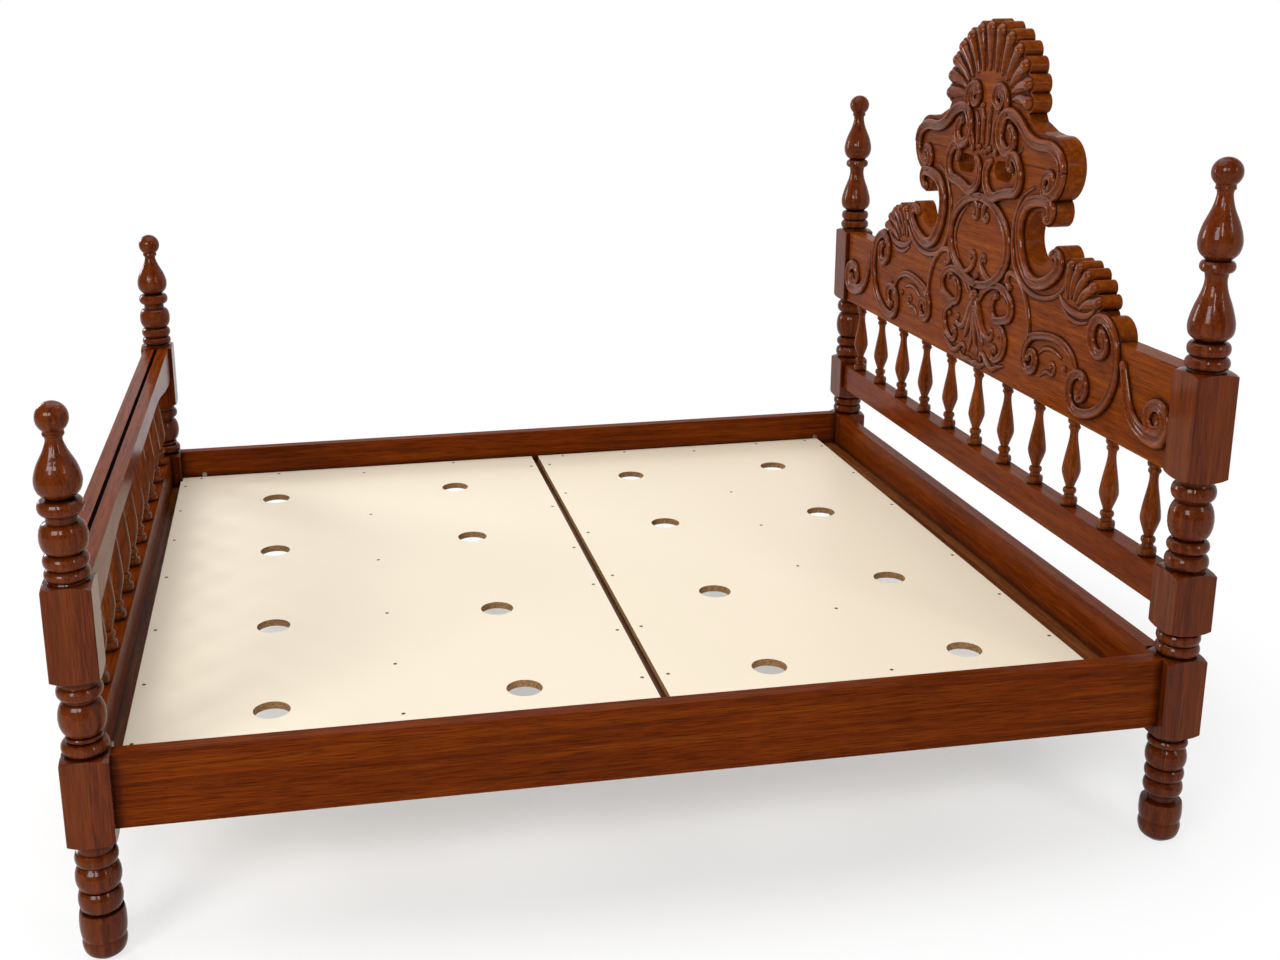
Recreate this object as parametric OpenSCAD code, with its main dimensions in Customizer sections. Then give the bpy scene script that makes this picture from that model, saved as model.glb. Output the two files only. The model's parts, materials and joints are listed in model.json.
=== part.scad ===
// Wooden double bed with turned posts, spindles, a carved shell headboard and a two-board deck.
// Millimetres. +Z is up, +Y runs from the foot to the head, +X is the right-hand side seen
// from the foot. The origin is on the floor, at the centre of the four posts.

/* [Frame] */
// Distance across the bed between the post axes
post_span_x = 1840; // [1700:10:1960]
// Distance along the bed between the post axes
post_span_y = 2120; // [2000:10:2240]
// Running clearance in every loose joint, on each side
fit = 0.2; // [0.1:0.05:0.4]

/* [Posts] */
// Side of the square blanks the posts are turned from
post_side = 86; // [80:1:92]
// Height of the turned leg below the lowest block
leg_h = 240; // [200:5:280]
// Height of the lowest block, which takes the bed rails
rail_block_h = 174; // [172:2:190]
// Height of the double collar between the two lower blocks of a head post
collar_h = 52; // [46:1:60]
// Height of the middle block of a head post
mid_block_h = 130; // [116:2:150]
// Height of the turned knop between the middle and the upper block of a head post
head_knop_h = 186; // [170:2:210]
// Height of the turned knop between the two blocks of a foot post
foot_knop_h = 146; // [130:2:170]
// Height of the upper block of a foot post
foot_block_h = 182; // [170:2:200]
// Height of the turned finial on a head post
head_finial_h = 404; // [370:2:430]
// Height of the turned finial on a foot post
foot_finial_h = 320; // [290:2:350]
// Radius of the ball that ends each finial
ball_r = 28.5; // [24:0.5:32]
// Depth of the turned shoulder at the end of a block
shoulder = 9; // [6:0.5:12]
// Bevel along the edges of the square blocks
block_bevel = 2; // [1:0.5:4]

/* [Rails] */
// Height of the four bed rails
rail_h = 148; // [136:2:150]
// Thickness of the side rails and of the head-end rail
rail_t = 30; // [26:1:36]
// Thickness of the foot-end rail, which carries the footboard spindles
foot_rail_t = 46; // [42:1:50]
// How far the side rails stand back from the outer faces of the posts
rail_setback = 23; // [16:1:26]
// Depth of the tenons on the head and foot rails
tenon_l = 22; // [16:1:26]
// Depth of the stub tenons on the bed rails that bolt on
stub_l = 12; // [8:1:14]
// Thickness of the tenons on the rails
tenon_t = 14; // [10:1:18]
// Shoulder left above and below each tenon
tenon_inset = 16; // [10:1:24]

/* [Headboard] */
// Thickness of the carved boards
board_t = 44; // [38:1:48]
// Distance from the front faces of the head posts back to the face of the boards
board_setback = 12; // [8:1:16]
// Height of the carved panel beside the posts
panel_h = 211; // [200:1:216]
// Height of the glue line between the panel and the crest board, above the panel's lower edge
glue_h = 531; // [520:1:540]
// Height of the spindle rail below the panel
low_rail_h = 75; // [64:1:84]
// Thickness of the spindle rail
low_rail_t = 42; // [38:1:46]

/* [Carving] */
// Half width of the shell
shell_w = 228; // [215:1:236]
// Height of the shell above its centre
shell_up = 182; // [170:1:195]
// Height of the shell's centre above the panel's lower edge
shell_z = 673; // [664:1:682]
// Number of lobes round the shell
shell_lobes = 13; // [11:2:15]
// Angle that the lobes cover on each side of the top
shell_sweep = 91; // [86:1:94]
// Radius of the lobes' round ends
lobe_r = 24; // [20:0.5:26]
// How far the carving stands proud of the boards
relief = 9; // [6:0.5:12]
// Half width of each pierced opening
pierce_w = 46; // [40:1:50]
// Half height of each pierced opening
pierce_r = 23; // [18:1:25]
// Distance of the pierced openings from the centre line
pierce_x = 100; // [96:1:106]
// Radius of the bites in the sides of the panel
bite_r = 62; // [54:1:66]
// Number of lobes on each side fan
fan_lobes = 5; // [4:1:6]
// Radius from the middle of a side fan to its lobes' tips
fan_r = 136; // [126:1:142]

/* [Spindles] */
// Number of spindles in the headboard and in the footboard
spindle_n = 11; // [9:1:11]
// Spacing of the spindles
spindle_gap = 160; // [150:1:164]
// Largest radius of a spindle
spindle_r = 20; // [16:0.5:21]
// Radius of the pins that hold a spindle
pin_r = 8; // [6:0.5:9]
// Length of the pins
pin_l = 16; // [12:1:20]

/* [Footboard] */
// Width of the footboard's top rail
top_rail_t = 68; // [60:1:76]
// Height of the footboard's top rail at the middle
top_rail_h = 52; // [46:1:60]
// How much deeper the top rail is at its ends
top_rail_drop = 38; // [24:1:44]
// Width of the groove along the top rail
groove_w = 9; // [6:0.5:14]
// Depth of the groove along the top rail
groove_d = 24; // [14:1:30]

/* [Deck] */
// Thickness of the deck boards
deck_t = 16; // [12:1:20]
// Depth of the deck's top face below the top of the rails
deck_sink = 80; // [70:1:84]
// Space between the deck and the foot-end rail
deck_gap_foot = 25; // [10:1:35]
// Space between the deck and the head-end rail
deck_gap_head = 62; // [40:1:70]
// Width of the joint between the two deck boards
seam_w = 20; // [10:1:30]
// Distance of the joint from the middle of the bed toward the head
seam_y = 46; // [-40:1:90]
// Radius of the vent holes in the deck
vent_r = 37.5; // [25:0.5:45]
// Distance of the inner rows of vent holes from the centre line
vent_x1 = 242; // [200:1:280]
// Distance of the outer rows of vent holes from the centre line
vent_x2 = 660; // [600:1:720]
// Width of the cleats along the rails
cleat_w = 32; // [26:1:40]
// Height of the cleats and of the cross bearers
cleat_h = 50; // [44:1:56]
// Width of the two outer cross bearers
bearer_w = 60; // [50:1:80]
// Width of the cross bearer below the joint
seam_bearer_w = 120; // [90:1:130]

/* [Fasteners] */
// Radius of the bed bolts
bolt_r = 4; // [3:0.5:5]
// Length of the bed bolts below the head
bolt_l = 150; // [135:5:160]
// Radius of the bolt heads' flanges
flange_r = 10; // [9:0.5:12]
// Radius of the cross nuts in the side rails
nut_r = 7; // [6:0.5:8]

/* [Hidden] */

wood = "#7a3d17";
wood_top = "#8a4a20";
cream = "#efe4d0";
steel = "#9a9a98";
e = 0.01;

// Post and block levels
ph = post_side / 2;
px = post_span_x / 2;
py = post_span_y / 2;
z_block = leg_h + rail_block_h;
z_mid0 = z_block + collar_h;
z_mid1 = z_mid0 + mid_block_h;
z_up0 = z_mid1 + head_knop_h;
z_up1 = z_up0 + panel_h + 7;
z_head_top = z_up1 + head_finial_h;
z_foot0 = z_block + foot_knop_h;
z_foot1 = z_foot0 + foot_block_h;
z_foot_top = z_foot1 + foot_finial_h;
in_x = px - ph;
in_y = py - ph;

// Bed rails
rail_z1 = z_block - 2;
rail_z0 = rail_z1 - rail_h;
rail_x1 = px + ph - rail_setback;
rail_x0 = rail_x1 - rail_t;
rail_xc = (rail_x0 + rail_x1) / 2;
head_rail_y0 = in_y + 3;
foot_rail_y1 = -py + foot_rail_t / 2 - 8;
foot_rail_yc = foot_rail_y1 - foot_rail_t / 2;
bolt_z = (rail_z0 + rail_z1) / 2;

// Headboard
board_y0 = in_y + board_setback;
board_z0 = z_up0 + 3;
low_rail_z1 = z_mid1 - shoulder - 9;
low_rail_z0 = low_rail_z1 - low_rail_h;
spindle_y = board_y0 + low_rail_t / 2;

// Footboard
top_rail_z1 = z_foot1 - shoulder / 2;
foot_spindle_y = foot_rail_yc;
arch_x0 = spindle_gap * 2.7;
arch_x1 = spindle_gap * 5.1;

// Deck
deck_z1 = rail_z1 - deck_sink;
deck_z0 = deck_z1 - deck_t;
deck_y0 = foot_rail_y1 + deck_gap_foot;
deck_y1 = head_rail_y0 - deck_gap_head;
cleat_z0 = deck_z0 - cleat_h;
bearer_lap = cleat_h / 2;
bearer_y = [(deck_y0 + seam_y) / 2 + 6, seam_y, (deck_y1 + seam_y) / 2 + 40];

// ---- profiles: lists of [radius, height], from the bottom up

// A rounded bead between two heights, which rises from radius ra to radius rm
function bead(z0, z1, ra, rm, n = 8) =
  [for (i = [0 : n - 1]) [ra + (rm - ra) * sin(180 * i / n), (z0 + z1) / 2 - (z1 - z0) / 2 * cos(180 * i / n)]];
// A smooth curve through control points
function smooth(p, n = 5) =
  [for (i = [0 : len(p) - 2]) let (a = p[max(i - 1, 0)], b = p[i], c = p[i + 1], d = p[min(i + 2, len(p) - 1)])
    for (k = [0 : n - 1]) let (t = k / n)
      0.5 * (2 * b + (c - a) * t + (2 * a - 5 * b + 4 * c - d) * t * t + (3 * b - a - 3 * c + d) * t * t * t)];
// Turned shoulders that run out onto the faces of a square block
function block(z0, z1) = let (h = ph)
  [[h * 0.82, z0], [h, z0 + 1], [h * 1.2, z0 + shoulder * 0.4], [h * 1.45, z0 + shoulder],
   [h * 1.45, z1 - shoulder], [h * 1.2, z1 - shoulder * 0.4], [h, z1 - 1], [h * 0.82, z1]];
// A ball on a short collar, which ends at height z1
function ball_end(z1) = let (c = z1 - ball_r)
  [for (a = [-50 : 10 : 80]) [ball_r * cos(a), c + ball_r * sin(a)]];

// The leg of a foot post: bun foot, bead, ball and ring
function foot_leg(h) = concat([[0, 0], [ph * 0.5, 0]],
  smooth([[ph * 0.5, 0.001 * h], [ph * 0.84, 0.05 * h], [ph * 0.95, 0.12 * h], [ph * 0.9, 0.17 * h]], 4),
  bead(0.17 * h, 0.405 * h, ph * 0.9, ph, 10),
  bead(0.405 * h, 0.59 * h, ph * 0.72, ph * 0.95),
  bead(0.59 * h, 0.79 * h, ph * 0.72, ph * 0.98),
  bead(0.80 * h, 0.91 * h, ph * 0.74, ph * 0.92),
  [[ph * 0.74, 0.91 * h], [ph * 0.74, 0.985 * h]]);
// The leg of a head post: bun foot, neck, two beads, ball and ring
function head_leg(h) = concat([[0, 0], [ph * 0.5, 0]],
  smooth([[ph * 0.5, 0.001 * h], [ph * 0.84, 0.05 * h], [ph * 0.96, 0.13 * h], [ph * 0.9, 0.19 * h]], 4),
  bead(0.19 * h, 0.37 * h, ph * 0.9, ph * 0.98),
  [[ph * 0.64, 0.375 * h], [ph * 0.62, 0.42 * h]],
  bead(0.425 * h, 0.57 * h, ph * 0.66, ph * 0.9),
  bead(0.57 * h, 0.685 * h, ph * 0.72, ph * 0.9),
  bead(0.685 * h, 0.88 * h, ph * 0.7, ph * 0.94),
  bead(0.885 * h, 0.96 * h, ph * 0.74, ph * 0.92),
  [[ph * 0.74, 0.96 * h], [ph * 0.74, 0.99 * h]]);
// The knop of a foot post: bead, fillet, ball and bead
function foot_knop(z, h) = concat(
  bead(z + 0.01 * h, z + 0.175 * h, ph * 0.78, ph * 0.99),
  bead(z + 0.18 * h, z + 0.25 * h, ph * 0.66, ph * 0.78, 5),
  bead(z + 0.25 * h, z + 0.71 * h, ph * 0.6, ph * 0.99, 12),
  bead(z + 0.735 * h, z + 0.92 * h, ph * 0.72, ph * 0.96),
  [[ph * 0.8, z + 0.92 * h], [ph * 0.8, z + 0.99 * h]]);
// The knop of a head post: two beads, ball and bead
function head_knop(z, h) = concat(
  bead(z + 0.01 * h, z + 0.17 * h, ph * 0.78, ph * 0.97),
  bead(z + 0.195 * h, z + 0.335 * h, ph * 0.68, ph * 0.94),
  bead(z + 0.345 * h, z + 0.765 * h, ph * 0.6, ph, 12),
  bead(z + 0.775 * h, z + 0.96 * h, ph * 0.74, ph * 0.98),
  [[ph * 0.8, z + 0.965 * h], [ph * 0.8, z + 0.995 * h]]);
// The double collar between the lower blocks of a head post
function collar(z, h) = concat(
  bead(z + 0.02 * h, z + 0.49 * h, ph * 0.8, ph * 0.99),
  bead(z + 0.49 * h, z + 0.97 * h, ph * 0.8, ph * 0.99),
  [[ph * 0.8, z + 0.975 * h], [ph * 0.8, z + 0.995 * h]]);
// The finial of a foot post: beads, squat ball, cove, bead, vase and ball
function foot_finial(z, h) = let (v = h - 2 * ball_r) concat(
  bead(z + 3, z + 0.085 * v, ph * 0.78, ph * 0.93),
  bead(z + 0.095 * v, z + 0.19 * v, ph * 0.74, ph * 0.93),
  bead(z + 0.20 * v, z + 0.405 * v, ph * 0.7, ph * 0.98, 10),
  [[ph * 0.64, z + 0.41 * v], [ph * 0.64, z + 0.455 * v]],
  bead(z + 0.46 * v, z + 0.565 * v, ph * 0.7, ph * 0.93),
  smooth([[ph * 0.56, z + 0.57 * v], [ph * 0.86, z + 0.62 * v], [ph * 0.95, z + 0.695 * v], [ph * 0.80, z + 0.79 * v],
    [ph * 0.50, z + 0.885 * v], [ph * 0.345, z + 0.955 * v], [ph * 0.37, z + 0.985 * v]], 4),
  bead(z + 0.985 * v, z + 1.02 * v, ph * 0.37, ph * 0.44, 4),
  ball_end(z + h));
// The finial of a head post: beads, pear, ring, tall vase and ball
function head_finial(z, h) = let (v = h - 2 * ball_r) concat(
  bead(z + 3, z + 0.075 * v, ph * 0.78, ph * 0.96),
  bead(z + 0.085 * v, z + 0.16 * v, ph * 0.74, ph * 0.93),
  smooth([[ph * 0.6, z + 0.165 * v], [ph * 0.92, z + 0.2 * v], [ph * 0.99, z + 0.262 * v], [ph * 0.82, z + 0.35 * v],
    [ph * 0.56, z + 0.44 * v], [ph * 0.47, z + 0.50 * v], [ph * 0.52, z + 0.545 * v]], 4),
  bead(z + 0.545 * v, z + 0.61 * v, ph * 0.56, ph * 0.76, 6),
  smooth([[ph * 0.52, z + 0.612 * v], [ph * 0.82, z + 0.65 * v], [ph * 0.93, z + 0.715 * v], [ph * 0.78, z + 0.80 * v],
    [ph * 0.48, z + 0.89 * v], [ph * 0.345, z + 0.96 * v], [ph * 0.37, z + 0.988 * v]], 4),
  bead(z + 0.988 * v, z + 1.012 * v, ph * 0.37, ph * 0.44, 4),
  ball_end(z + h));

function foot_profile() = concat(foot_leg(leg_h), block(leg_h, z_block), foot_knop(z_block, foot_knop_h),
  block(z_foot0, z_foot1), foot_finial(z_foot1, foot_finial_h), [[0, z_foot_top]]);
function head_profile() = concat(head_leg(leg_h), block(leg_h, z_block), collar(z_block, collar_h),
  block(z_mid0, z_mid1), head_knop(z_mid1, head_knop_h), block(z_up0, z_up1),
  head_finial(z_up1, head_finial_h), [[0, z_head_top]]);

// A spindle of length h, with its collars at both ends at their real size
function spindle_profile(h) = let (r = spindle_r, b = 50, t = 30, m = h - b - t) concat(
  [[0, -pin_l], [pin_r, -pin_l], [pin_r, 0], [r * 0.82, 0]],
  bead(0.5, 20, r * 0.82, r * 0.93, 6),
  [[r * 0.6, 20.5], [r * 0.56, 28]],
  bead(28.5, 42, r * 0.56, r * 0.74, 6),
  smooth([[r * 0.45, 43], [r * 0.55, b], [r * 0.97, b + 0.2 * m], [r, b + 0.32 * m], [r * 0.78, b + 0.56 * m],
    [r * 0.52, b + 0.8 * m], [r * 0.45, b + 0.93 * m], [r * 0.5, b + m]], 3),
  bead(h - t + 1, h - t + 11, r * 0.5, r * 0.66, 5),
  [[r * 0.55, h - t + 11.5], [r * 0.55, h - t + 14]],
  bead(h - t + 14.5, h - 1, r * 0.6, r * 0.78, 6),
  [[r * 0.7, h - 0.5], [r * 0.7, h], [pin_r, h], [pin_r, h + pin_l], [0, h + pin_l]]);

// ---- outlines of the carved boards, x across and y up from the panel's lower edge
lobe_step = 2 * shell_sweep / (shell_lobes - 1);
function lobe_at(i) = let (a = -shell_sweep + i * lobe_step)
  [(shell_w - lobe_r) * sin(a), shell_z + (shell_up - lobe_r) * cos(a)];
function root_at(i) = let (a = -shell_sweep + i * lobe_step)
  [shell_w * 0.56 * sin(a), shell_z + shell_up * 0.36 * cos(a)];
u = glue_h / 531;
fan_c = [470 * u, panel_h + 7];
fan_lobe_r = fan_r * 0.125;
function fan_at(i) = let (a = -8 + i * 68 / (fan_lobes - 1))
  fan_c + (fan_r - fan_lobe_r) * [sin(a), cos(a)];
function fan_root_at(i) = let (a = -20 + i * 72 / (fan_lobes - 1))
  fan_c + [-10, 0] + fan_r * 0.38 * [sin(a), cos(a)];
shoulder_c = [330 * u, glue_h + 2];
shoulder_r = 72 * u;
hook_c = [331 * u, glue_h - 94 * u];
bite_c = [300 * u, glue_h - 158 * u];
curl_c = [390 * u, glue_h - 195 * u];
volute_c = [612 * u, panel_h - 3];
volute_r = 48 * u;
pierce_z = glue_h - 28 * u;

// Right half of the boards without their round ends
module half_body() {
  neck = shell_w - 23 * u;
  polygon([[-1, 0], [in_x, 0], [in_x, panel_h], [volute_c[0], panel_h], fan_c + u * [112, 40],
    fan_c + u * [60, 84], fan_c + u * [0, 96], curl_c + u * [30, -8], curl_c, bite_c,
    [bite_c[0], shoulder_c[1]], shoulder_c + u * [0, 71.5], shoulder_c + u * [-30, 72],
    shoulder_c + u * [-62, 77], shoulder_c + u * [-90, 88], [neck + 13 * u, shell_z - 44 * u], [neck, shell_z - 24 * u],
    [neck, shell_z], [-1, shell_z]]);
}
module half_outline() {
  difference() {
    half_body();
    translate(bite_c) circle(r = bite_r, $fn = 64);
  }
  translate(shoulder_c) circle(r = shoulder_r, $fn = 64);
  translate(hook_c) circle(r = 34 * u, $fn = 48);
  translate(curl_c) circle(r = 34 * u, $fn = 48);
  translate(volute_c) circle(r = volute_r, $fn = 48);
  for (i = [0 : fan_lobes - 1]) translate(fan_at(i)) circle(r = fan_lobe_r, $fn = 32);
}
module shell_outline() {
  polygon([for (a = [-100 : 4 : 100]) [(shell_w - lobe_r * 1.5) * sin(a), shell_z + (shell_up - lobe_r * 1.5) * cos(a)]]);
  for (i = [0 : shell_lobes - 1]) translate(lobe_at(i)) circle(r = lobe_r, $fn = 40);
}
module piercing(s) {
  translate([s * pierce_x, pierce_z]) {
    square([2 * (pierce_w - pierce_r), 2 * pierce_r], center = true);
    for (k = [-1, 1]) translate([k * (pierce_w - pierce_r), 0]) circle(r = pierce_r, $fn = 48);
  }
}
module outline() {
  difference() {
    union() {
      half_outline();
      mirror([1, 0]) half_outline();
      shell_outline();
    }
    piercing(-1);
    piercing(1);
  }
}
// Stands an outline up as a board whose face is at board_y0
module stand(t) {
  translate([0, board_y0 + t, board_z0]) rotate([90, 0, 0]) linear_extrude(t) children();
}
// A tapered, round-ended rib between two points of the outline, sunk so that it stands proud by the relief
module rib(p, q, r0, r1, proud0, proud1) {
  d = q - p;
  len = norm(d);
  y0 = board_y0 + r0 - proud0;
  y1 = board_y0 + r1 - proud1;
  full = norm([len, y1 - y0]);
  translate([p[0], y0, board_z0 + p[1]])
    rotate([0, atan2(d[0], d[1]), 0]) rotate([-atan2(y1 - y0, len), 0, 0]) {
      cylinder(h = full, r1 = r0, r2 = r1, $fn = 32);
      translate([0, 0, full]) sphere(r = r1, $fn = 32);
    }
}

// ---- scroll carving: bands raised from the face of the boards, laid out as chains of tangent arcs
// Each scroll is [start, heading there, points that the arcs pass through, half width, end volute, start volute];
// a volute is [first radius, sense, half turns]. Only the right half is listed, in the boards' own x and y.
scrolls = [
  // the S from the middle volute over the shoulder, up and down from the glue line
  [[385, 531], 90, [[366, 566], [300, 582], [230, 592], [196, 612], [135, 641]], 8, [46, 1, 2], []],
  [[385, 531], -90, [[336, 471]], 8, [25, -1, 2], []],
  // the stem beside the middle of the shell
  [[62, 545], 78, [[82, 594], [105, 650], [66, 698]], 7, [23, 1, 2], []],
  // the C round the pierced opening
  [[38, 520], 205, [[17, 488], [84, 441], [160, 458], [193, 505], [165, 543]], 7, [18, 1, 1], []],
  // the C round the bite
  [[333, 459], 176, [[258, 450], [210, 378], [243, 299], [321, 272], [400, 314]], 8, [22, 1, 1], [20, -1, 1]],
  // the big volute, its sweep and the lower volute
  [[526, 26], 0, [[612, 54], [660, 196], [614, 246]], 8, [40, 1, 2], [42, -1, 2]],
  // the long C above the spindles
  [[270, 92], 90, [[312, 148], [398, 163], [472, 149], [506, 112]], 6, [], [28, 1, 2]],
  // the end scroll beside the post
  [[692, 170], -70, [[719, 101], [765, 57], [823, 47], [861, 78]], 8, [35, 1, 2], []],
  // the small scroll beside the cartouche
  [[178, 272], 0, [[232, 252], [284, 136]], 5, [], [18, 1, 1]],
  // the scroll of the leaf
  [[20, 176], 55, [[132, 229], [186, 205], [176, 158], [128, 145]], 6, [30, -1, 1], []],
];
scroll_h = relief * 0.55;
coil_step = 0.64;
// The rim of the cartouche: an oval of two radii
rim_w = 158 * u;
rim_h = 108 * u;
rim_r = 80 * u;
rim_c = [0, 321 * u];
rim_d = (pow(rim_w - rim_r, 2) + pow(rim_h - rim_r, 2)) / (2 * (rim_h - rim_r));
rim_a = acos((rim_w - rim_r) / rim_d);

// An arc is [start, heading, radius, turn]; a left turn is positive in both
function turn_to(p, a, q) = let (f = atan2(q[1] - p[1], q[0] - p[0]) - a) 2 * (f - 360 * round(f / 360));
function arc_point(g, t) = let (b = g[1] + g[3] * t) g[0] + g[2] * [sin(b) - sin(g[1]), cos(g[1]) - cos(b)];
function through(p, a, q, i = 0) = i == len(q) ? [] : let (t = turn_to(p, a, q[i]))
  concat([[p, a, norm(q[i] - p) / (2 * sin(t / 2)), t]], through(q[i], a + t, q, i + 1));
function coil(p, a, v) = len(v) == 0 || v[2] == 0 ? [] : let (g = [p, a, v[1] * v[0] * u, v[1] * 180])
  concat([g], coil(arc_point(g, 1), a + g[3], [v[0] * coil_step, v[1], v[2] - 1]));
function last(g) = g[len(g) - 1];
// One edge of a band: points at the distance w to the left of the arcs
function edge(arcs, w) = [for (i = [0 : 1 : len(arcs) - 1]) let (g = arcs[i], n = max(2, ceil(abs(g[3]) / 18)))
  for (k = [i == 0 ? 0 : 1 : n]) let (b = g[1] + g[3] * k / n) arc_point(g, k / n) + w * [-sin(b), cos(b)]];
function turned_round(p) = [for (i = [len(p) - 1 : -1 : 0]) p[i]];
// The edge of a band that runs back along the head arcs first and then along the main ones
function both(head, main, w) = concat([for (i = [len(head) > 0 ? len(edge(head, -w)) - 1 : 0 : -1 : 1]) edge(head, -w)[i]],
  edge(main, w));
module eye(p, w, h) {
  translate([p[0], p[1], -1]) cylinder(h = h + 1, r = w, $fn = 48);
}
// The scrolls between two heights over the panel's lower edge
module scroll_layer(y0, y1) {
  for (s = [0, 1]) mirror([s, 0, 0]) translate([0, board_y0, board_z0]) rotate([90, 0, 0])
    for (q = scrolls) {
      arcs = through(u * q[0], q[1], u * q[2]);
      main = concat(arcs, coil(arc_point(last(arcs), 1), last(arcs)[1] + last(arcs)[3], q[4]));
      head = coil(u * q[0], q[1] + 180, q[5]);
      p = concat(both(head, main, u * q[3]), turned_round(both(head, main, -u * q[3])));
      y = [for (c = p) c[1]];
      if (min(y) > y0 - e && max(y) < y1 + e) translate([0, 0, -1]) linear_extrude(scroll_h + 1) polygon(p);
      else if (max(y) > y0 + 1 && min(y) < y1 - 1) translate([0, 0, -1]) linear_extrude(scroll_h + 1) intersection() {
        polygon(p);
        translate([-in_x, y0]) square([2 * in_x, y1 - y0]);
      }
      for (c = [arc_point(last(main), 1), len(head) > 0 ? arc_point(last(head), 1) : u * q[0]])
        if (c[1] - 12 > y0 && c[1] + 12 < y1) eye(c, u * q[3] + 2, scroll_h + 2);
    }
}
// The oval rim of the cartouche
function oval(d) = [for (k = [0, 180], t = [0 : 1 : 15])
  let (side = t < 8, b = side ? k - rim_a + rim_a * t / 4 : k + rim_a + (180 - 2 * rim_a) * (t - 8) / 8,
    c = side ? [(rim_w - rim_r) * cos(k), 0] : [0, (rim_h - rim_r - rim_d) * cos(k)], r = side ? rim_r : rim_r + rim_d)
    rim_c + c + (r + d) * [cos(b), sin(b)]];
module rim() {
  translate([0, board_y0 + 1, board_z0]) rotate([90, 0, 0]) linear_extrude(scroll_h + 1) difference() {
    polygon(oval(7 * u));
    polygon(oval(-7 * u));
  }
}

// ---- turned and square work
module turned(profile) {
  rotate_extrude($fn = 96) polygon(profile);
}
module post(profile, top) {
  intersection() {
    linear_extrude(top + 1)
      polygon([for (c = [[1, 1], [-1, 1], [-1, -1], [1, -1]]) let (b = block_bevel)
        for (k = c[0] * c[1] > 0 ? [[0, b], [b, 0]] : [[b, 0], [0, b]]) [c[0] * (ph - k[0]), c[1] * (ph - k[1])]]);
    turned(profile);
  }
}
// A bar with a tenon on both ends, along X, between the inner faces of the posts
module tenoned(y0, t, z0, h, ten_l, ten_t, inset) {
  translate([-in_x, y0, z0]) cube([2 * in_x, t, h]);
  translate([-in_x - ten_l, y0 + (t - ten_t) / 2, z0 + inset]) cube([2 * (in_x + ten_l), ten_t, h - 2 * inset]);
}
// The mortise in a post for such a tenon; s is the side of the bed
module mortise(s, y0, t, z0, h, ten_l, ten_t, inset) {
  translate([s > 0 ? in_x - e : -in_x - ten_l - fit, y0 + (t - ten_t) / 2 - fit, z0 + inset - fit])
    cube([ten_l + fit + e, ten_t + 2 * fit, h - 2 * inset + 2 * fit]);
}
// The stub mortise and the bolt hole for a side rail; sx and sy are the corner
module side_rail_seat(sx, sy) {
  translate([sx * rail_xc - tenon_t / 2 - fit, sy > 0 ? in_y - e : -in_y - stub_l - fit, rail_z0 + tenon_inset - fit])
    cube([tenon_t + 2 * fit, stub_l + fit + e, rail_h - 2 * tenon_inset + 2 * fit]);
  translate([sx * rail_xc, sy * (py + ph + e), bolt_z]) rotate([sy * 90, 0, 0]) {
    cylinder(h = 2 * ph, r = bolt_r + 2 * fit, $fn = 32);
    cylinder(h = 12, r = flange_r + 1, $fn = 48);
  }
}

module post_head(s) {
  color(wood) difference() {
    translate([s * px, py, 0]) post(head_profile(), z_head_top);
    mortise(s, head_rail_y0, rail_t, rail_z0, rail_h, tenon_l, tenon_t, tenon_inset);
    mortise(s, board_y0, low_rail_t, low_rail_z0, low_rail_h, tenon_l, tenon_t, tenon_inset);
    mortise(s, board_y0, board_t, board_z0, panel_h, tenon_l, tenon_t, 2 * tenon_inset);
    side_rail_seat(s, 1);
  }
}
module post_foot(s) {
  color(wood) difference() {
    translate([s * px, -py, 0]) post(foot_profile(), z_foot_top);
    mortise(s, foot_rail_y1 - foot_rail_t, foot_rail_t, rail_z0, rail_h, tenon_l, tenon_t, tenon_inset);
    mortise(s, -py - top_rail_t / 2, top_rail_t, top_rail_end_z, top_rail_z1 - groove_d - 4 - top_rail_end_z,
      tenon_l, tenon_t * 2, 6);
    side_rail_seat(s, -1);
  }
}
module post_head_left() { post_head(-1); }
module post_head_right() { post_head(1); }
module post_foot_left() { post_foot(-1); }
module post_foot_right() { post_foot(1); }

// ---- headboard
function spindle_x(i) = (i - (spindle_n - 1) / 2) * spindle_gap;
module pin_hole(x, y, z) {
  translate([x, y, z]) cylinder(h = pin_l + fit, r = pin_r + fit, $fn = 32);
}
module headboard_panel() {
  color(wood) difference() {
    union() {
      intersection() {
        stand(board_t) outline();
        translate([-in_x, board_y0 - 1, board_z0]) cube([2 * in_x, board_t + 2, glue_h]);
      }
      for (s = [-1, 1], i = [0 : fan_lobes - 1]) let (q = fan_at(i), p = fan_root_at(i))
        rib([s * p[0], p[1]], [s * q[0], q[1]], 5, fan_lobe_r - 1.5, 2, relief);
      scroll_layer(0, glue_h);
      rim();
      translate([-in_x - tenon_l, board_y0 + (board_t - tenon_t) / 2, board_z0 + 2 * tenon_inset])
        cube([2 * (in_x + tenon_l), tenon_t, panel_h - 4 * tenon_inset]);
    }
    for (i = [0 : spindle_n - 1]) pin_hole(spindle_x(i), spindle_y, board_z0 - e);
  }
}
module headboard_crest() {
  color(wood) {
    intersection() {
      stand(board_t) outline();
      translate([-in_x, board_y0 - 1, board_z0 + glue_h]) cube([2 * in_x, board_t + 2, shell_z + shell_up]);
    }
    for (i = [0 : shell_lobes - 1]) rib(root_at(i), lobe_at(i), 6, lobe_r - 3, 3, relief);
    scroll_layer(glue_h, shell_z + shell_up);
  }
}
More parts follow.
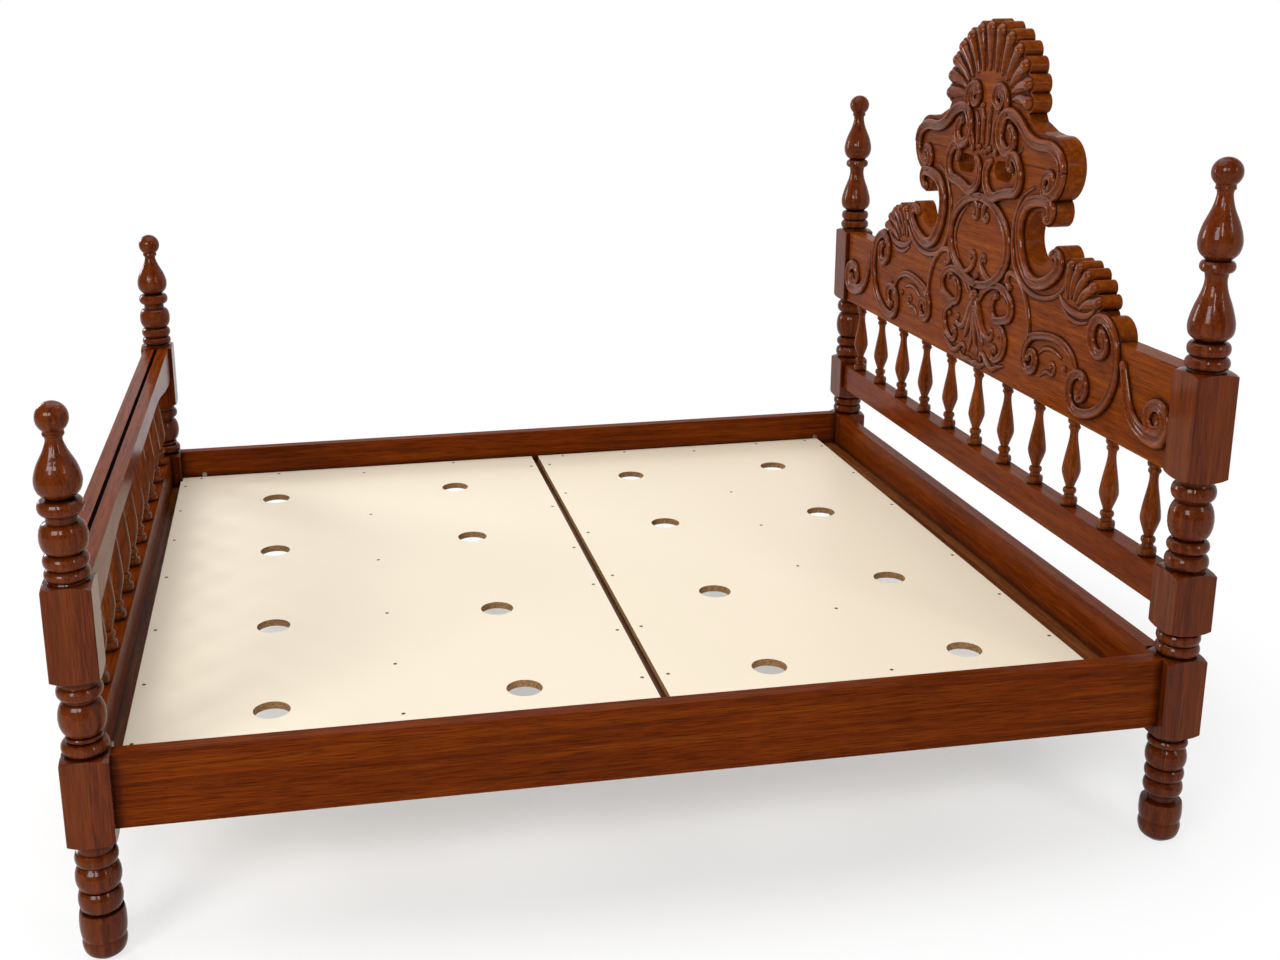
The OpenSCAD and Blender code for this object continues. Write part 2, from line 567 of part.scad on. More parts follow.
module headboard_low_rail() {
  color(wood) difference() {
    tenoned(board_y0, low_rail_t, low_rail_z0, low_rail_h, tenon_l, tenon_t, tenon_inset);
    for (i = [0 : spindle_n - 1]) pin_hole(spindle_x(i), spindle_y, low_rail_z1 - pin_l - fit + e);
  }
}
module headboard_spindle(i) {
  if (i < spindle_n) color(wood) translate([spindle_x(i), spindle_y, low_rail_z1])
    turned(spindle_profile(board_z0 - low_rail_z1));
}

// ---- footboard
// Depth of the top rail at a distance x from the centre line
function top_rail_depth(x) = let (t = min(max((abs(x) - arch_x0) / (arch_x1 - arch_x0), 0), 1))
  top_rail_h + top_rail_drop * (1 - cos(180 * t)) / 2;
top_rail_end_z = top_rail_z1 - top_rail_h - top_rail_drop;
module footboard_top_rail() {
  n = 16;
  ten_h = top_rail_z1 - groove_d - 4 - top_rail_end_z;
  color(wood_top) difference() {
    union() {
      translate([0, -py + top_rail_t / 2, 0]) rotate([90, 0, 0]) linear_extrude(top_rail_t)
        polygon(concat([[-in_x, top_rail_z1], [-in_x, top_rail_end_z]],
          [for (i = [0 : n]) let (x = -arch_x1 + (arch_x1 - arch_x0) * i / n) [x, top_rail_z1 - top_rail_depth(x)]],
          [for (i = [0 : n]) let (x = arch_x0 + (arch_x1 - arch_x0) * i / n) [x, top_rail_z1 - top_rail_depth(x)]],
          [[in_x, top_rail_end_z], [in_x, top_rail_z1]]));
      translate([-in_x - tenon_l, -py - tenon_t, top_rail_end_z + 6])
        cube([2 * (in_x + tenon_l), 2 * tenon_t, ten_h - 12]);
    }
    translate([-in_x - 1, -py - groove_w / 2, top_rail_z1 - groove_d]) cube([2 * in_x + 2, groove_w, groove_d + 1]);
    for (i = [0 : spindle_n - 1])
      pin_hole(spindle_x(i), foot_spindle_y, foot_spindle_top(i) - e);
    spindle_seat_cuts();
  }
}
function foot_spindle_top(i) = top_rail_z1 - top_rail_depth(abs(spindle_x(i)) + spindle_r * 0.8);
// Flat seats for the collars of the spindles under the curved ends
module spindle_seat_cuts() {
  for (i = [0 : spindle_n - 1]) translate([spindle_x(i), foot_spindle_y, foot_spindle_top(i) - 30])
    cylinder(h = 30, r = spindle_r * 0.8 + 1, $fn = 48);
}
module footboard_spindle(i) {
  if (i < spindle_n) color(wood) translate([spindle_x(i), foot_spindle_y, rail_z1])
    turned(spindle_profile(foot_spindle_top(i) - rail_z1));
}

// ---- bed rails
module head_end_rail() {
  color(wood_top) tenoned(head_rail_y0, rail_t, rail_z0, rail_h, tenon_l, tenon_t, tenon_inset);
}
module foot_end_rail() {
  color(wood_top) difference() {
    tenoned(foot_rail_y1 - foot_rail_t, foot_rail_t, rail_z0, rail_h, tenon_l, tenon_t, tenon_inset);
    for (i = [0 : spindle_n - 1]) pin_hole(spindle_x(i), foot_spindle_y, rail_z1 - pin_l - fit + e);
  }
}
nut_y = in_y - (bolt_l - 2 * ph + 12) + 12;
module side_rail(s) {
  color(wood) difference() {
    union() {
      translate([s > 0 ? rail_x0 : -rail_x1, -in_y, rail_z0]) cube([rail_t, 2 * in_y, rail_h]);
      translate([s * rail_xc - tenon_t / 2, -in_y - stub_l, rail_z0 + tenon_inset])
        cube([tenon_t, 2 * (in_y + stub_l), rail_h - 2 * tenon_inset]);
    }
    for (k = [-1, 1]) {
      translate([s * rail_xc, k * (in_y + stub_l + e), bolt_z]) rotate([k * 90, 0, 0])
        cylinder(h = stub_l + in_y - nut_y + 20, r = bolt_r + 2 * fit, $fn = 32);
      translate([s > 0 ? rail_x0 - e : -rail_x0 - rail_t + 4, k * nut_y, bolt_z]) rotate([0, 90, 0])
        cylinder(h = rail_t - 4 + e, r = nut_r + fit, $fn = 32);
    }
  }
}
module side_rail_left() { side_rail(-1); }
module side_rail_right() { side_rail(1); }

// ---- deck and what carries it
module cleat_side(s) {
  color(wood) difference() {
    translate([s > 0 ? rail_x0 - cleat_w : -rail_x0, -in_y, cleat_z0]) cube([cleat_w, 2 * in_y, cleat_h]);
    for (b = [0 : 2]) let (w = b == 1 ? seam_bearer_w : bearer_w)
      translate([s > 0 ? rail_x0 - cleat_w - e : -rail_x0 - e, bearer_y[b] - w / 2 - fit, deck_z0 - bearer_lap])
        cube([cleat_w + 2 * e, w + 2 * fit, bearer_lap + e]);
  }
}
module cleat_left() { cleat_side(-1); }
module cleat_right() { cleat_side(1); }
module cleat_end(y0, w) {
  x = min(rail_x0 - cleat_w, in_x) - fit;
  translate([-x, y0, cleat_z0]) cube([2 * x, w, cleat_h]);
}
module cleat_head() { color(wood) cleat_end(deck_y1 - cleat_w, deck_gap_head + cleat_w); }
module cleat_foot() { color(wood) cleat_end(foot_rail_y1, deck_gap_foot + cleat_w); }
module bearer(y, w) {
  translate([-rail_x0 + fit, y - w / 2, deck_z0 - bearer_lap]) cube([2 * (rail_x0 - fit), w, bearer_lap]);
  translate([-rail_x0 + cleat_w + fit, y - w / 2, cleat_z0])
    cube([2 * (rail_x0 - cleat_w - fit), w, cleat_h]);
}
module bearer_foot() { color(wood) bearer(bearer_y[0], bearer_w); }
module bearer_seam() { color(wood) bearer(bearer_y[1], seam_bearer_w); }
module bearer_head() { color(wood) bearer(bearer_y[2], bearer_w); }
module deck_board(y0, y1) {
  l = y1 - y0;
  color(cream) difference() {
    translate([-rail_x0 + 1, y0, deck_z0]) cube([2 * rail_x0 - 2, l, deck_t]);
    for (x = [-vent_x2, -vent_x1, vent_x1, vent_x2], f = [0.265, 0.75])
      translate([x, y0 + l * f, deck_z0 - 1]) cylinder(h = deck_t + 2, r = vent_r, $fn = 64);
    for (sx = [-1, 1], sy = [-1, 1]) translate([sx * px, sy * py, deck_z0])
      cube([post_side + 4, post_side + 4, 3 * deck_t], center = true);
  }
}
module deck_foot() { deck_board(deck_y0, seam_y - seam_w / 2); }
module deck_head() { deck_board(seam_y + seam_w / 2, deck_y1); }

// ---- fasteners
module bed_bolts() {
  color(steel) for (sx = [-1, 1], sy = [-1, 1])
    translate([sx * rail_xc, sy * (py + ph - 12), bolt_z]) rotate([sy * 90, 0, 0]) {
      cylinder(h = bolt_l, r = bolt_r, $fn = 32);
      translate([0, 0, -2]) cylinder(h = 2, r = flange_r, $fn = 48);
      translate([0, 0, -8]) cylinder(h = 6.5, r = 7.5, $fn = 6);
    }
}
module cross_nuts() {
  color(steel) for (sx = [-1, 1], sy = [-1, 1]) difference() {
    translate([sx > 0 ? rail_x0 + 1 : -rail_x0 - rail_t + 5, sy * nut_y, bolt_z]) rotate([0, 90, 0])
      cylinder(h = rail_t - 6, r = nut_r, $fn = 32);
    translate([sx * rail_xc, sy * nut_y + 2 * nut_r, bolt_z]) rotate([90, 0, 0])
      cylinder(h = 4 * nut_r, r = bolt_r + fit, $fn = 32);
  }
}

post_head_left();
post_head_right();
post_foot_left();
post_foot_right();
headboard_panel();
headboard_crest();
headboard_low_rail();
headboard_spindle(0);  // headboard_spindle_01
headboard_spindle(1);  // headboard_spindle_02
headboard_spindle(2);  // headboard_spindle_03
headboard_spindle(3);  // headboard_spindle_04
headboard_spindle(4);  // headboard_spindle_05
headboard_spindle(5);  // headboard_spindle_06
headboard_spindle(6);  // headboard_spindle_07
headboard_spindle(7);  // headboard_spindle_08
headboard_spindle(8);  // headboard_spindle_09
headboard_spindle(9);  // headboard_spindle_10
headboard_spindle(10);  // headboard_spindle_11
footboard_top_rail();
footboard_spindle(0);  // footboard_spindle_01
footboard_spindle(1);  // footboard_spindle_02
footboard_spindle(2);  // footboard_spindle_03
footboard_spindle(3);  // footboard_spindle_04
footboard_spindle(4);  // footboard_spindle_05
footboard_spindle(5);  // footboard_spindle_06
footboard_spindle(6);  // footboard_spindle_07
footboard_spindle(7);  // footboard_spindle_08
footboard_spindle(8);  // footboard_spindle_09
footboard_spindle(9);  // footboard_spindle_10
footboard_spindle(10);  // footboard_spindle_11
head_end_rail();
foot_end_rail();
side_rail_left();
side_rail_right();
cleat_left();
cleat_right();
cleat_head();
cleat_foot();
bearer_foot();
bearer_seam();
bearer_head();
deck_foot();
deck_head();
bed_bolts();
cross_nuts();
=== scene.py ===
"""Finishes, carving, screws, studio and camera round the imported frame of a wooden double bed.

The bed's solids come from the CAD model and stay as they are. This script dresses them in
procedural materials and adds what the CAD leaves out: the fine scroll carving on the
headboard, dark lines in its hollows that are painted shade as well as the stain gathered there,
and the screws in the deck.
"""

import json
import logging
import math
from dataclasses import dataclass
from enum import Enum
from typing import Optional, Sequence

import bmesh
import bpy
from mathutils import Matrix, Vector

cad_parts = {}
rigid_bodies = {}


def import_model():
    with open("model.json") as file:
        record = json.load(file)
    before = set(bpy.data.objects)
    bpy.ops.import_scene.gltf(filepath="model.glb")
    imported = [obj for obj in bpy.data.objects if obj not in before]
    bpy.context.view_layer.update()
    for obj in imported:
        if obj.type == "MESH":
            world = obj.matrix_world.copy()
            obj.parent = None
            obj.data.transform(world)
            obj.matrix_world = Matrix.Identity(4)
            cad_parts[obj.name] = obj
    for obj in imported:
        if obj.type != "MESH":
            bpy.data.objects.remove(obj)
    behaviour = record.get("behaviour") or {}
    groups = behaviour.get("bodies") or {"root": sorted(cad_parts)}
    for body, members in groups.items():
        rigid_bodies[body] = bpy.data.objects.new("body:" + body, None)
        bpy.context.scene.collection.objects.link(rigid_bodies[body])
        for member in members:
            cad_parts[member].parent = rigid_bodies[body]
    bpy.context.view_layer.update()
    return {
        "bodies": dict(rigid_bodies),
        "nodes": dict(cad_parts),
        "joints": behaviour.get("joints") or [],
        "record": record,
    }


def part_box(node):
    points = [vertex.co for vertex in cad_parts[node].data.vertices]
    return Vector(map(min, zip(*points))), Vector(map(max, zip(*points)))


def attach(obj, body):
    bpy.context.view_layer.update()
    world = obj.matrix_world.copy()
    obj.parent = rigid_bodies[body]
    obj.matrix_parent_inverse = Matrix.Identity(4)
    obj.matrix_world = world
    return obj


LOG = logging.getLogger("bed")
MM = 0.001
Point = tuple[float, float]

# Cells of the wood's patterns per metre: along and across the grain, and for the patches of stain
GRAIN_CELLS = (2.2, 75.0)
PORE_CELLS = (16.0, 520.0)
BLOTCH_CELLS = 7.0
# How far the painted shade and gathered stain creep out of a corner, in metres, and how much lighter the outer board
# of a post is
SHADE_AND_STAIN_REACH = 0.020
LIGHTER_BOARD = 0.24
# The dark line beside a moulding, painted shade as well as gathered stain, reaches this far past its edge, in mm
RIBBON_STAIN_AND_SHADE = 2.0
SCROLL_STAIN_AND_SHADE = 2.2
# Points on a swept arc are no further apart than this
WALK_DEGREES = 8
WALK_MM = 12
# A small volute has so many points to a turn, and its innermost radius is this share of its first
TURN_POINTS = 18
INNER_SHARE = 0.22


def linear(hex_colour: str) -> tuple[float, float, float, float]:
    """The linear RGBA of an sRGB colour written as '#rrggbb'."""
    parts = [int(hex_colour[i : i + 2], 16) / 255 for i in (1, 3, 5)]
    return (*[c / 12.92 if c <= 0.04045 else ((c + 0.055) / 1.055) ** 2.4 for c in parts], 1.0)


# ---------------------------------------------------------------- materials


class Axis(Enum):
    """The direction that the grain of a piece runs in."""

    X = 0
    Y = 1
    Z = 2


class Graph:
    """A material's node tree with a short way to add nodes."""

    def __init__(self, name: str) -> None:
        """Makes an empty material of that name."""
        self.material = bpy.data.materials.new(name)
        self.material.use_nodes = True
        self.tree = self.material.node_tree
        self.tree.nodes.clear()
        self.output = self.add("OutputMaterial")

    def add(self, kind: str, settings: Optional[dict] = None, **sockets) -> bpy.types.Node:
        """Adds one shader node.

        Args:
            kind: the node's type without the 'ShaderNode' in front.
            settings: the node's own properties.
            sockets: input sockets by name, with '_' for a space or 'i0' for a number; the value
                is a constant or another node's output socket.
        Returns:
            The new node.
        """
        node = self.tree.nodes.new("ShaderNode" + kind)
        for key, value in (settings or {}).items():
            setattr(node, key, value)
        for key, value in sockets.items():
            index = int(key[1:]) if key[0] == "i" and key[1:].isdigit() else key.replace("_", " ")
            self._feed(node.inputs[index], value)
        return node

    def _feed(self, socket: bpy.types.NodeSocket, value) -> None:
        """Links an input socket to another node's output, or sets its constant."""
        if isinstance(value, bpy.types.NodeSocket):
            self.tree.links.new(value, socket)
        else:
            socket.default_value = value

    def place(self, scale: Sequence[float]) -> bpy.types.NodeSocket:
        """Object coordinates, scaled along each axis."""
        coordinates = self.add("TexCoord").outputs["Object"]
        return self.add("Mapping", {"vector_type": "POINT"}, Vector=coordinates, Scale=tuple(scale)).outputs[0]

    def ramp(self, factor: bpy.types.NodeSocket, stops: Sequence[tuple[float, str]]) -> bpy.types.NodeSocket:
        """A colour ramp through (position, sRGB hex) stops."""
        node = self.add("ValToRGB", Fac=factor)
        elements = node.color_ramp.elements
        while len(elements) < len(stops):
            elements.new(0.5)
        for element, (position, colour) in zip(elements, stops):
            element.position = position
            element.color = linear(colour)
        return node.outputs[0]

    def math(self, operation: str, a, b=0.0) -> bpy.types.NodeSocket:
        """One arithmetic node."""
        return self.add("Math", {"operation": operation}, i0=a, i1=b).outputs[0]

    def remap(self, value: bpy.types.NodeSocket, lo: float, hi: float) -> bpy.types.NodeSocket:
        """Maps 0..1 to lo..hi."""
        return self.add("MapRange", i0=value, i3=lo, i4=hi).outputs[0]

    def mix(self, factor, a, b, blend: str = "MIX") -> bpy.types.NodeSocket:
        """Mixes two colours."""
        return self.add("Mix", {"data_type": "RGBA", "blend_type": blend}, i0=factor, i6=a, i7=b).outputs[2]

    def shade(self, colour: bpy.types.NodeSocket, amount: bpy.types.NodeSocket) -> bpy.types.NodeSocket:
        """Multiplies a colour by an amount, the same for red, green and blue."""
        grey = self.add("CombineColor", i0=amount, i1=amount, i2=amount).outputs[0]
        return self.mix(1.0, colour, grey, "MULTIPLY")

    def finish(self, shader: bpy.types.Node) -> bpy.types.Material:
        """Joins the shader to the output and returns the material."""
        self.tree.links.new(shader.outputs[0], self.output.inputs["Surface"])
        return self.material


@dataclass(frozen=True)
class Hardwood:
    """Open-pored hardwood, spray-stained reddish brown and lacquered to a gloss.

    Where laminated is set, a blank is glued up of two boards, and their joint lies that far from
    the bed's middle along y, in metres.
    """

    name: str
    axis: Axis
    dark: str = "#521f05"
    mid: str = "#6a2a06"
    light: str = "#7c3a09"
    seed: float = 0.0
    laminated: float = 0.0
    gloss: float = 0.24
    specular: float = 0.05

    def _stretch(self, cells: Point) -> list[float]:
        """The scale on each axis of a pattern with so many cells per metre along and across the grain."""
        scale = [cells[1]] * 3
        scale[self.axis.value] = cells[0]
        return scale

    def build(self) -> bpy.types.Material:
        """Makes the material: grain bands, pores, uneven stain, painted shade in crevices, gloss that varies, soft
        bump.
        """
        g = Graph(self.name)
        # Growth bands, 12 to 40 mm wide and half a metre long, give the plank its figure
        figure = g.add("TexNoise", {"noise_dimensions": "4D"}, Vector=g.place(self._stretch(GRAIN_CELLS)),
                       W=self.seed, Scale=1.0, Detail=4.0, Roughness=0.6, Distortion=0.5).outputs[0]
        # Pores 2 mm across and up to 60 mm long hold the stain and read as short dark dashes
        pores = g.add("TexNoise", {"noise_dimensions": "4D"}, Vector=g.place(self._stretch(PORE_CELLS)),
                      W=self.seed, Scale=1.0, Detail=3.0, Roughness=0.7).outputs[0]
        # The sprayed stain lies a little thicker in some places, over 100 mm or so
        blotch = g.add("TexNoise", {"noise_dimensions": "4D"}, Vector=g.place([BLOTCH_CELLS] * 3),
                       W=self.seed + 3.0, Scale=1.0, Detail=2.0, Roughness=0.5).outputs[0]
        wood = g.ramp(figure, ((0.28, self.dark), (0.50, self.mid), (0.74, self.light)))
        wood = g.shade(wood, g.add("MapRange", i0=pores, i1=0.38, i2=0.56, i3=0.48, i4=1.06).outputs[0])
        wood = g.shade(wood, g.remap(blotch, 0.72, 1.24))
        if self.laminated:
            # Square blanks are glued from two boards, and the outer board is a shade lighter
            y = g.add("SeparateXYZ", Vector=g.place([1.0] * 3)).outputs[1]
            outer = g.math("GREATER_THAN", g.math("ABSOLUTE", y), self.laminated)
            wood = g.mix(g.math("MULTIPLY", outer, LIGHTER_BOARD), wood, linear(self.light))
        # Painted shade, with the stain that gathers where two surfaces meet: the colour darkens wherever other
        # surfaces close in, which draws every turned groove, joint and opening
        crevice_shade_and_stain = g.add("AmbientOcclusion", {"samples": 6, "inside": False}, Distance=SHADE_AND_STAIN_REACH).outputs["AO"]
        wood = g.shade(wood, g.add("MapRange", i0=crevice_shade_and_stain, i1=0.32, i2=0.96, i3=0.10, i4=1.0).outputs[0])
        # Hand-rubbed gloss: the lacquer is a touch duller over open pores
        rough = g.math("ADD", g.remap(pores, 0.10, 0.02), g.remap(blotch, 0.14, 0.26))
        height = g.math("ADD", g.math("MULTIPLY", pores, 0.6), g.math("MULTIPLY", figure, 0.4))
        bump = g.add("Bump", Strength=0.22, Distance=0.0006, Height=height).outputs[0]
        return g.finish(g.add("BsdfPrincipled", Base_Color=wood, Roughness=rough, IOR=1.45, Normal=bump,
                              Specular_IOR_Level=self.specular, Coat_Weight=self.gloss, Coat_Roughness=0.06,
                              Coat_IOR=1.45))


@dataclass(frozen=True)
class StainAndPaintedShade:
    """A dark line beside a moulding: painted shade where the moulding meets the board, and the stain that ran into the
    carver's cut and dried nearly black. It also draws the glue line under the crest.
    """

    name: str = "stain_and_painted_shade_in_cuts"

    def build(self) -> bpy.types.Material:
        """Makes the material: a dark line that breaks up a little."""
        g = Graph(self.name)
        spots = g.add("TexNoise", Vector=g.place([90.0] * 3), Scale=1.0, Detail=3.0).outputs[0]
        colour = g.ramp(spots, ((0.3, "#220a03"), (0.72, "#4a2009")))
        bump = g.add("Bump", Strength=0.3, Distance=0.0005, Height=spots).outputs[0]
        return g.finish(g.add("BsdfPrincipled", Base_Color=colour, Roughness=g.remap(spots, 0.4, 0.6), IOR=1.45,
                              Specular_IOR_Level=0.04, Normal=bump))


@dataclass(frozen=True)
class FacedBoard:
    """Cream melamine pressed on particle board, whose sawn edges and hole walls stay brown."""

    name: str
    face: str = "#e9ddc8"
    seed: float = 0.0

    def build(self) -> bpy.types.Material:
        """Makes the material: fine press texture on the faces, chips of wood on the edges."""
        g = Graph(self.name)
        normal_z = g.add("SeparateXYZ", Vector=g.add("NewGeometry").outputs["True Normal"]).outputs[2]
        is_face = g.math("GREATER_THAN", g.math("ABSOLUTE", normal_z), 0.5)
        cloud = g.add("TexNoise", {"noise_dimensions": "4D"}, Vector=g.place([2.3] * 3), W=self.seed, Scale=1.0,
                      Detail=2.0).outputs[0]
        dust = g.add("TexNoise", Vector=g.place([900.0] * 3), Scale=1.0, Detail=2.0).outputs[0]
        face = g.mix(g.remap(cloud, 0.0, 0.6), linear(self.face), linear("#e5d9c3"))
        face = g.mix(g.math("MULTIPLY", dust, 0.06), face, linear("#cdbfa6"))
        chips = g.add("TexVoronoi", Vector=g.place([420.0, 420.0, 900.0]), Scale=1.0).outputs["Color"]
        shade = g.add("SeparateColor", Color=chips).outputs[0]
        edge = g.ramp(shade, ((0.1, "#6d4b2d"), (0.6, "#9b7449"), (1.0, "#b8925f")))
        colour = g.mix(is_face, edge, face)
        rough = g.add("MapRange", i0=is_face, i3=0.85, i4=0.42).outputs[0]
        height = g.math("ADD", g.math("MULTIPLY", dust, 0.4), g.math("MULTIPLY", shade, 0.1))
        bump = g.add("Bump", Strength=0.08, Distance=0.0004, Height=height).outputs[0]
        return g.finish(g.add("BsdfPrincipled", Base_Color=colour, Roughness=rough, IOR=1.5, Specular_IOR_Level=0.35,
                              Normal=bump))


@dataclass(frozen=True)
class ZincSteel:
    """Zinc-plated steel with a brushed, slightly clouded plating."""

    name: str = "steel_zinc_plated"
    colour: str = "#a8a7a2"
    rough: float = 0.36

    def build(self) -> bpy.types.Material:
        """Makes the material: clouded plating and fine scratches."""
        g = Graph(self.name)
        cloud = g.add("TexNoise", Vector=g.place([160.0] * 3), Scale=1.0, Detail=4.0).outputs[0]
        colour = g.mix(g.remap(cloud, 0.0, 0.7), linear(self.colour), linear("#77756f"))
        scratch = g.add("TexNoise", Vector=g.place([2400.0, 160.0, 2400.0]), Scale=1.0, Detail=2.0).outputs[0]
        bump = g.add("Bump", Strength=0.12, Distance=0.0002, Height=scratch).outputs[0]
        return g.finish(g.add("BsdfPrincipled", Base_Color=colour, Metallic=1.0, IOR=2.5, Normal=bump,
                              Roughness=g.remap(cloud, self.rough, self.rough + 0.16)))


@dataclass(frozen=True)
class ScrewHead:
    """Bronze-toned countersunk screw, dulled by the driver."""

    name: str = "steel_bronzed_screw"

    def build(self) -> bpy.types.Material:
        """Makes the material: dark plating, worn lighter in spots."""
        g = Graph(self.name)
        worn = g.add("TexNoise", Vector=g.place([700.0] * 3), Scale=1.0, Detail=3.0).outputs[0]
        colour = g.ramp(worn, ((0.35, "#2c2118"), (0.75, "#6b563c")))
        bump = g.add("Bump", Strength=0.15, Distance=0.0002, Height=worn).outputs[0]
        return g.finish(g.add("BsdfPrincipled", Base_Color=colour, Metallic=0.8, Roughness=g.remap(worn, 0.35, 0.55),
                              Normal=bump))


@dataclass(frozen=True)
class Palette:
    """Every material of the bed, built once."""

    posts: bpy.types.Material
    turned: bpy.types.Material
    planks_x: bpy.types.Material
    planks_y: bpy.types.Material
    carved: bpy.types.Material
    crest: bpy.types.Material
    ridges: bpy.types.Material
    stain_and_shade: bpy.types.Material
    bearers: bpy.types.Material
    cleats: bpy.types.Material
    deck_a: bpy.types.Material
    deck_b: bpy.types.Material
    steel: bpy.types.Material
    screw: bpy.types.Material

    @staticmethod
    def build() -> "Palette":
        """Makes all the materials."""
        carved_wood = {"dark": "#63290a", "mid": "#76350a", "light": "#8a470f", "specular": 0.015}
        softwood = {"dark": "#4a200c", "mid": "#74401d", "light": "#8c5429"}
        return Palette(
            posts=Hardwood("hardwood_stained_posts", Axis.Z, dark="#461904", mid="#5e2506", light="#723409", seed=1.0,
                           laminated=1.060).build(),
            turned=Hardwood("hardwood_stained_spindles", Axis.Z, mid="#6c300b", light="#884511", seed=4.0).build(),
            planks_x=Hardwood("hardwood_stained_planks_across", Axis.X, seed=7.0, gloss=0.06, specular=0.03).build(),
            planks_y=Hardwood("hardwood_stained_planks_along", Axis.Y, seed=2.0, gloss=0.03, specular=0.02).build(),
            carved=Hardwood("hardwood_stained_carved_panel", Axis.X, seed=11.0, gloss=0.05, **carved_wood).build(),
            crest=Hardwood("hardwood_stained_carved_crest", Axis.X, seed=15.0, gloss=0.09, **carved_wood).build(),
            ridges=Hardwood("hardwood_stained_carving_burnished", Axis.X, dark="#5a240a", mid="#723109",
                            light="#85420e", seed=18.0, gloss=0.38, specular=0.03).build(),
            # The dark lines beside the mouldings are painted shade as well as stain gathered in the cuts
            stain_and_shade=StainAndPaintedShade().build(),
            bearers=Hardwood("softwood_stained_bearers", Axis.X, seed=21.0, **softwood).build(),
            cleats=Hardwood("softwood_stained_cleats", Axis.Y, seed=24.0, **softwood).build(),
            deck_a=FacedBoard("board_melamine_foot").build(),
            deck_b=FacedBoard("board_melamine_head", face="#eaddc6", seed=5.0).build(),
            steel=ZincSteel().build(),
            screw=ScrewHead().build(),
        )


def dress(frame: dict, names: Sequence[str], material: bpy.types.Material) -> None:
    """Gives CAD nodes a material."""
    for name in names:
        mesh = frame["nodes"][name].data
        mesh.materials.clear()
        mesh.materials.append(material)
    LOG.info("dressed %d nodes in %s", len(names), material.name)


# ---------------------------------------------------------------- mouldings


class Section(Enum):
    """Cross-sections of the carved mouldings, as (across, proud) pairs for a half width of 1."""

    ROUND = ((-1.0, -0.25), (-0.98, 0.18), (-0.84, 0.54), (-0.60, 0.80), (-0.32, 0.95), (0.0, 1.0), (0.32, 0.95),
             (0.60, 0.80), (0.84, 0.54), (0.98, 0.18), (1.0, -0.25))
    REEDED = ((-1.0, -0.25), (-1.0, 0.44), (-0.90, 0.76), (-0.70, 0.88), (-0.52, 0.78), (-0.38, 0.60), (-0.20, 0.55),
              (0.0, 0.60), (0.18, 0.76), (0.34, 0.98), (0.52, 1.08), (0.74, 1.02), (0.92, 0.78), (1.0, 0.40),
              (1.0, -0.25))
    # The same with its tall bead on the other side
    REEDED_OUT = tuple((-u, v) for u, v in reversed(REEDED))
    FLAT = ((-1.0, -0.5), (-1.0, 0.5), (1.0, 0.5), (1.0, -0.5))


@dataclass(frozen=True)
class Curl:
    """A volute at the end of a moulding: where its eye is, how far it winds and which way."""

    centre: Point
    turns: float = 1.2
    sense: int = 1
    taper: float = 0.55


@dataclass(frozen=True)
class Ribbon:
    """One small moulding: a path over the board in mm, its half widths along it and the volute at its end."""

    path: tuple[Point, ...]
    half: tuple[float, ...]
    rise: float = 0.8
    section: Section = Section.ROUND
    tail: Optional[Curl] = None
    mirrored: bool = True


@dataclass(frozen=True)
class Coil:
    """A volute drawn with compasses: its first radius in mm, which way it turns and its half turns."""

    radius: float
    sense: int
    halves: int = 2


@dataclass(frozen=True)
class Scroll:
    """One of the main mouldings: arcs tangent to each other, which cover the band cut in the board."""

    start: Point
    heading: float
    via: tuple[Point, ...]
    half: tuple[float, ...]
    rise: float = 0.85
    section: Section = Section.REEDED
    tail: Optional[Coil] = None
    head: Optional[Coil] = None
    eye: float = 12.0
    bud: float = 10.0


@dataclass(frozen=True)
class Arc:
    """One arc: its start in mm, its heading there, its radius and its turn in degrees, left positive."""

    start: Point
    heading: float
    radius: float
    turn: float

    def at(self, t: float) -> Point:
        """The point at t, from 0 to 1, along the arc."""
        a, b = math.radians(self.heading), math.radians(self.heading + self.turn * t)
        return (self.start[0] + self.radius * (math.sin(b) - math.sin(a)),
                self.start[1] + self.radius * (math.cos(a) - math.cos(b)))


def arcs_through(start: Point, heading: float, via: Sequence[Point]) -> list[Arc]:
    """Arcs that leave the start in the heading and pass through the points, each tangent to the last."""
    arcs = []
    for goal in via:
        chord = math.degrees(math.atan2(goal[1] - start[1], goal[0] - start[0])) - heading
        turn = 2 * (chord - 360 * round(chord / 360))
        arcs.append(Arc(start, heading, math.dist(start, goal) / (2 * math.sin(math.radians(turn / 2))), turn))
        start, heading = goal, heading + turn
    return arcs


def coil_arcs(start: Point, heading: float, coil: Optional[Coil], step: float = 0.64) -> list[Arc]:
    """The half turns of a volute, each smaller than the last by the step."""
    arcs: list[Arc] = []
    for k in range(coil.halves if coil else 0):
        arcs.append(Arc(start, heading, coil.sense * coil.radius * step ** k, coil.sense * 180.0))
        start, heading = arcs[-1].at(1.0), heading + arcs[-1].turn
    return arcs


def walk(arcs: Sequence[Arc]) -> list[Point]:
    """Points along arcs, close enough together to look round."""
    points = [arcs[0].start] if arcs else []
    for arc in arcs:
        length = abs(math.radians(arc.turn) * arc.radius)
        count = max(2, math.ceil(abs(arc.turn) / WALK_DEGREES), math.ceil(length / WALK_MM))
        points += [arc.at((k + 1) / count) for k in range(count)]
    return points


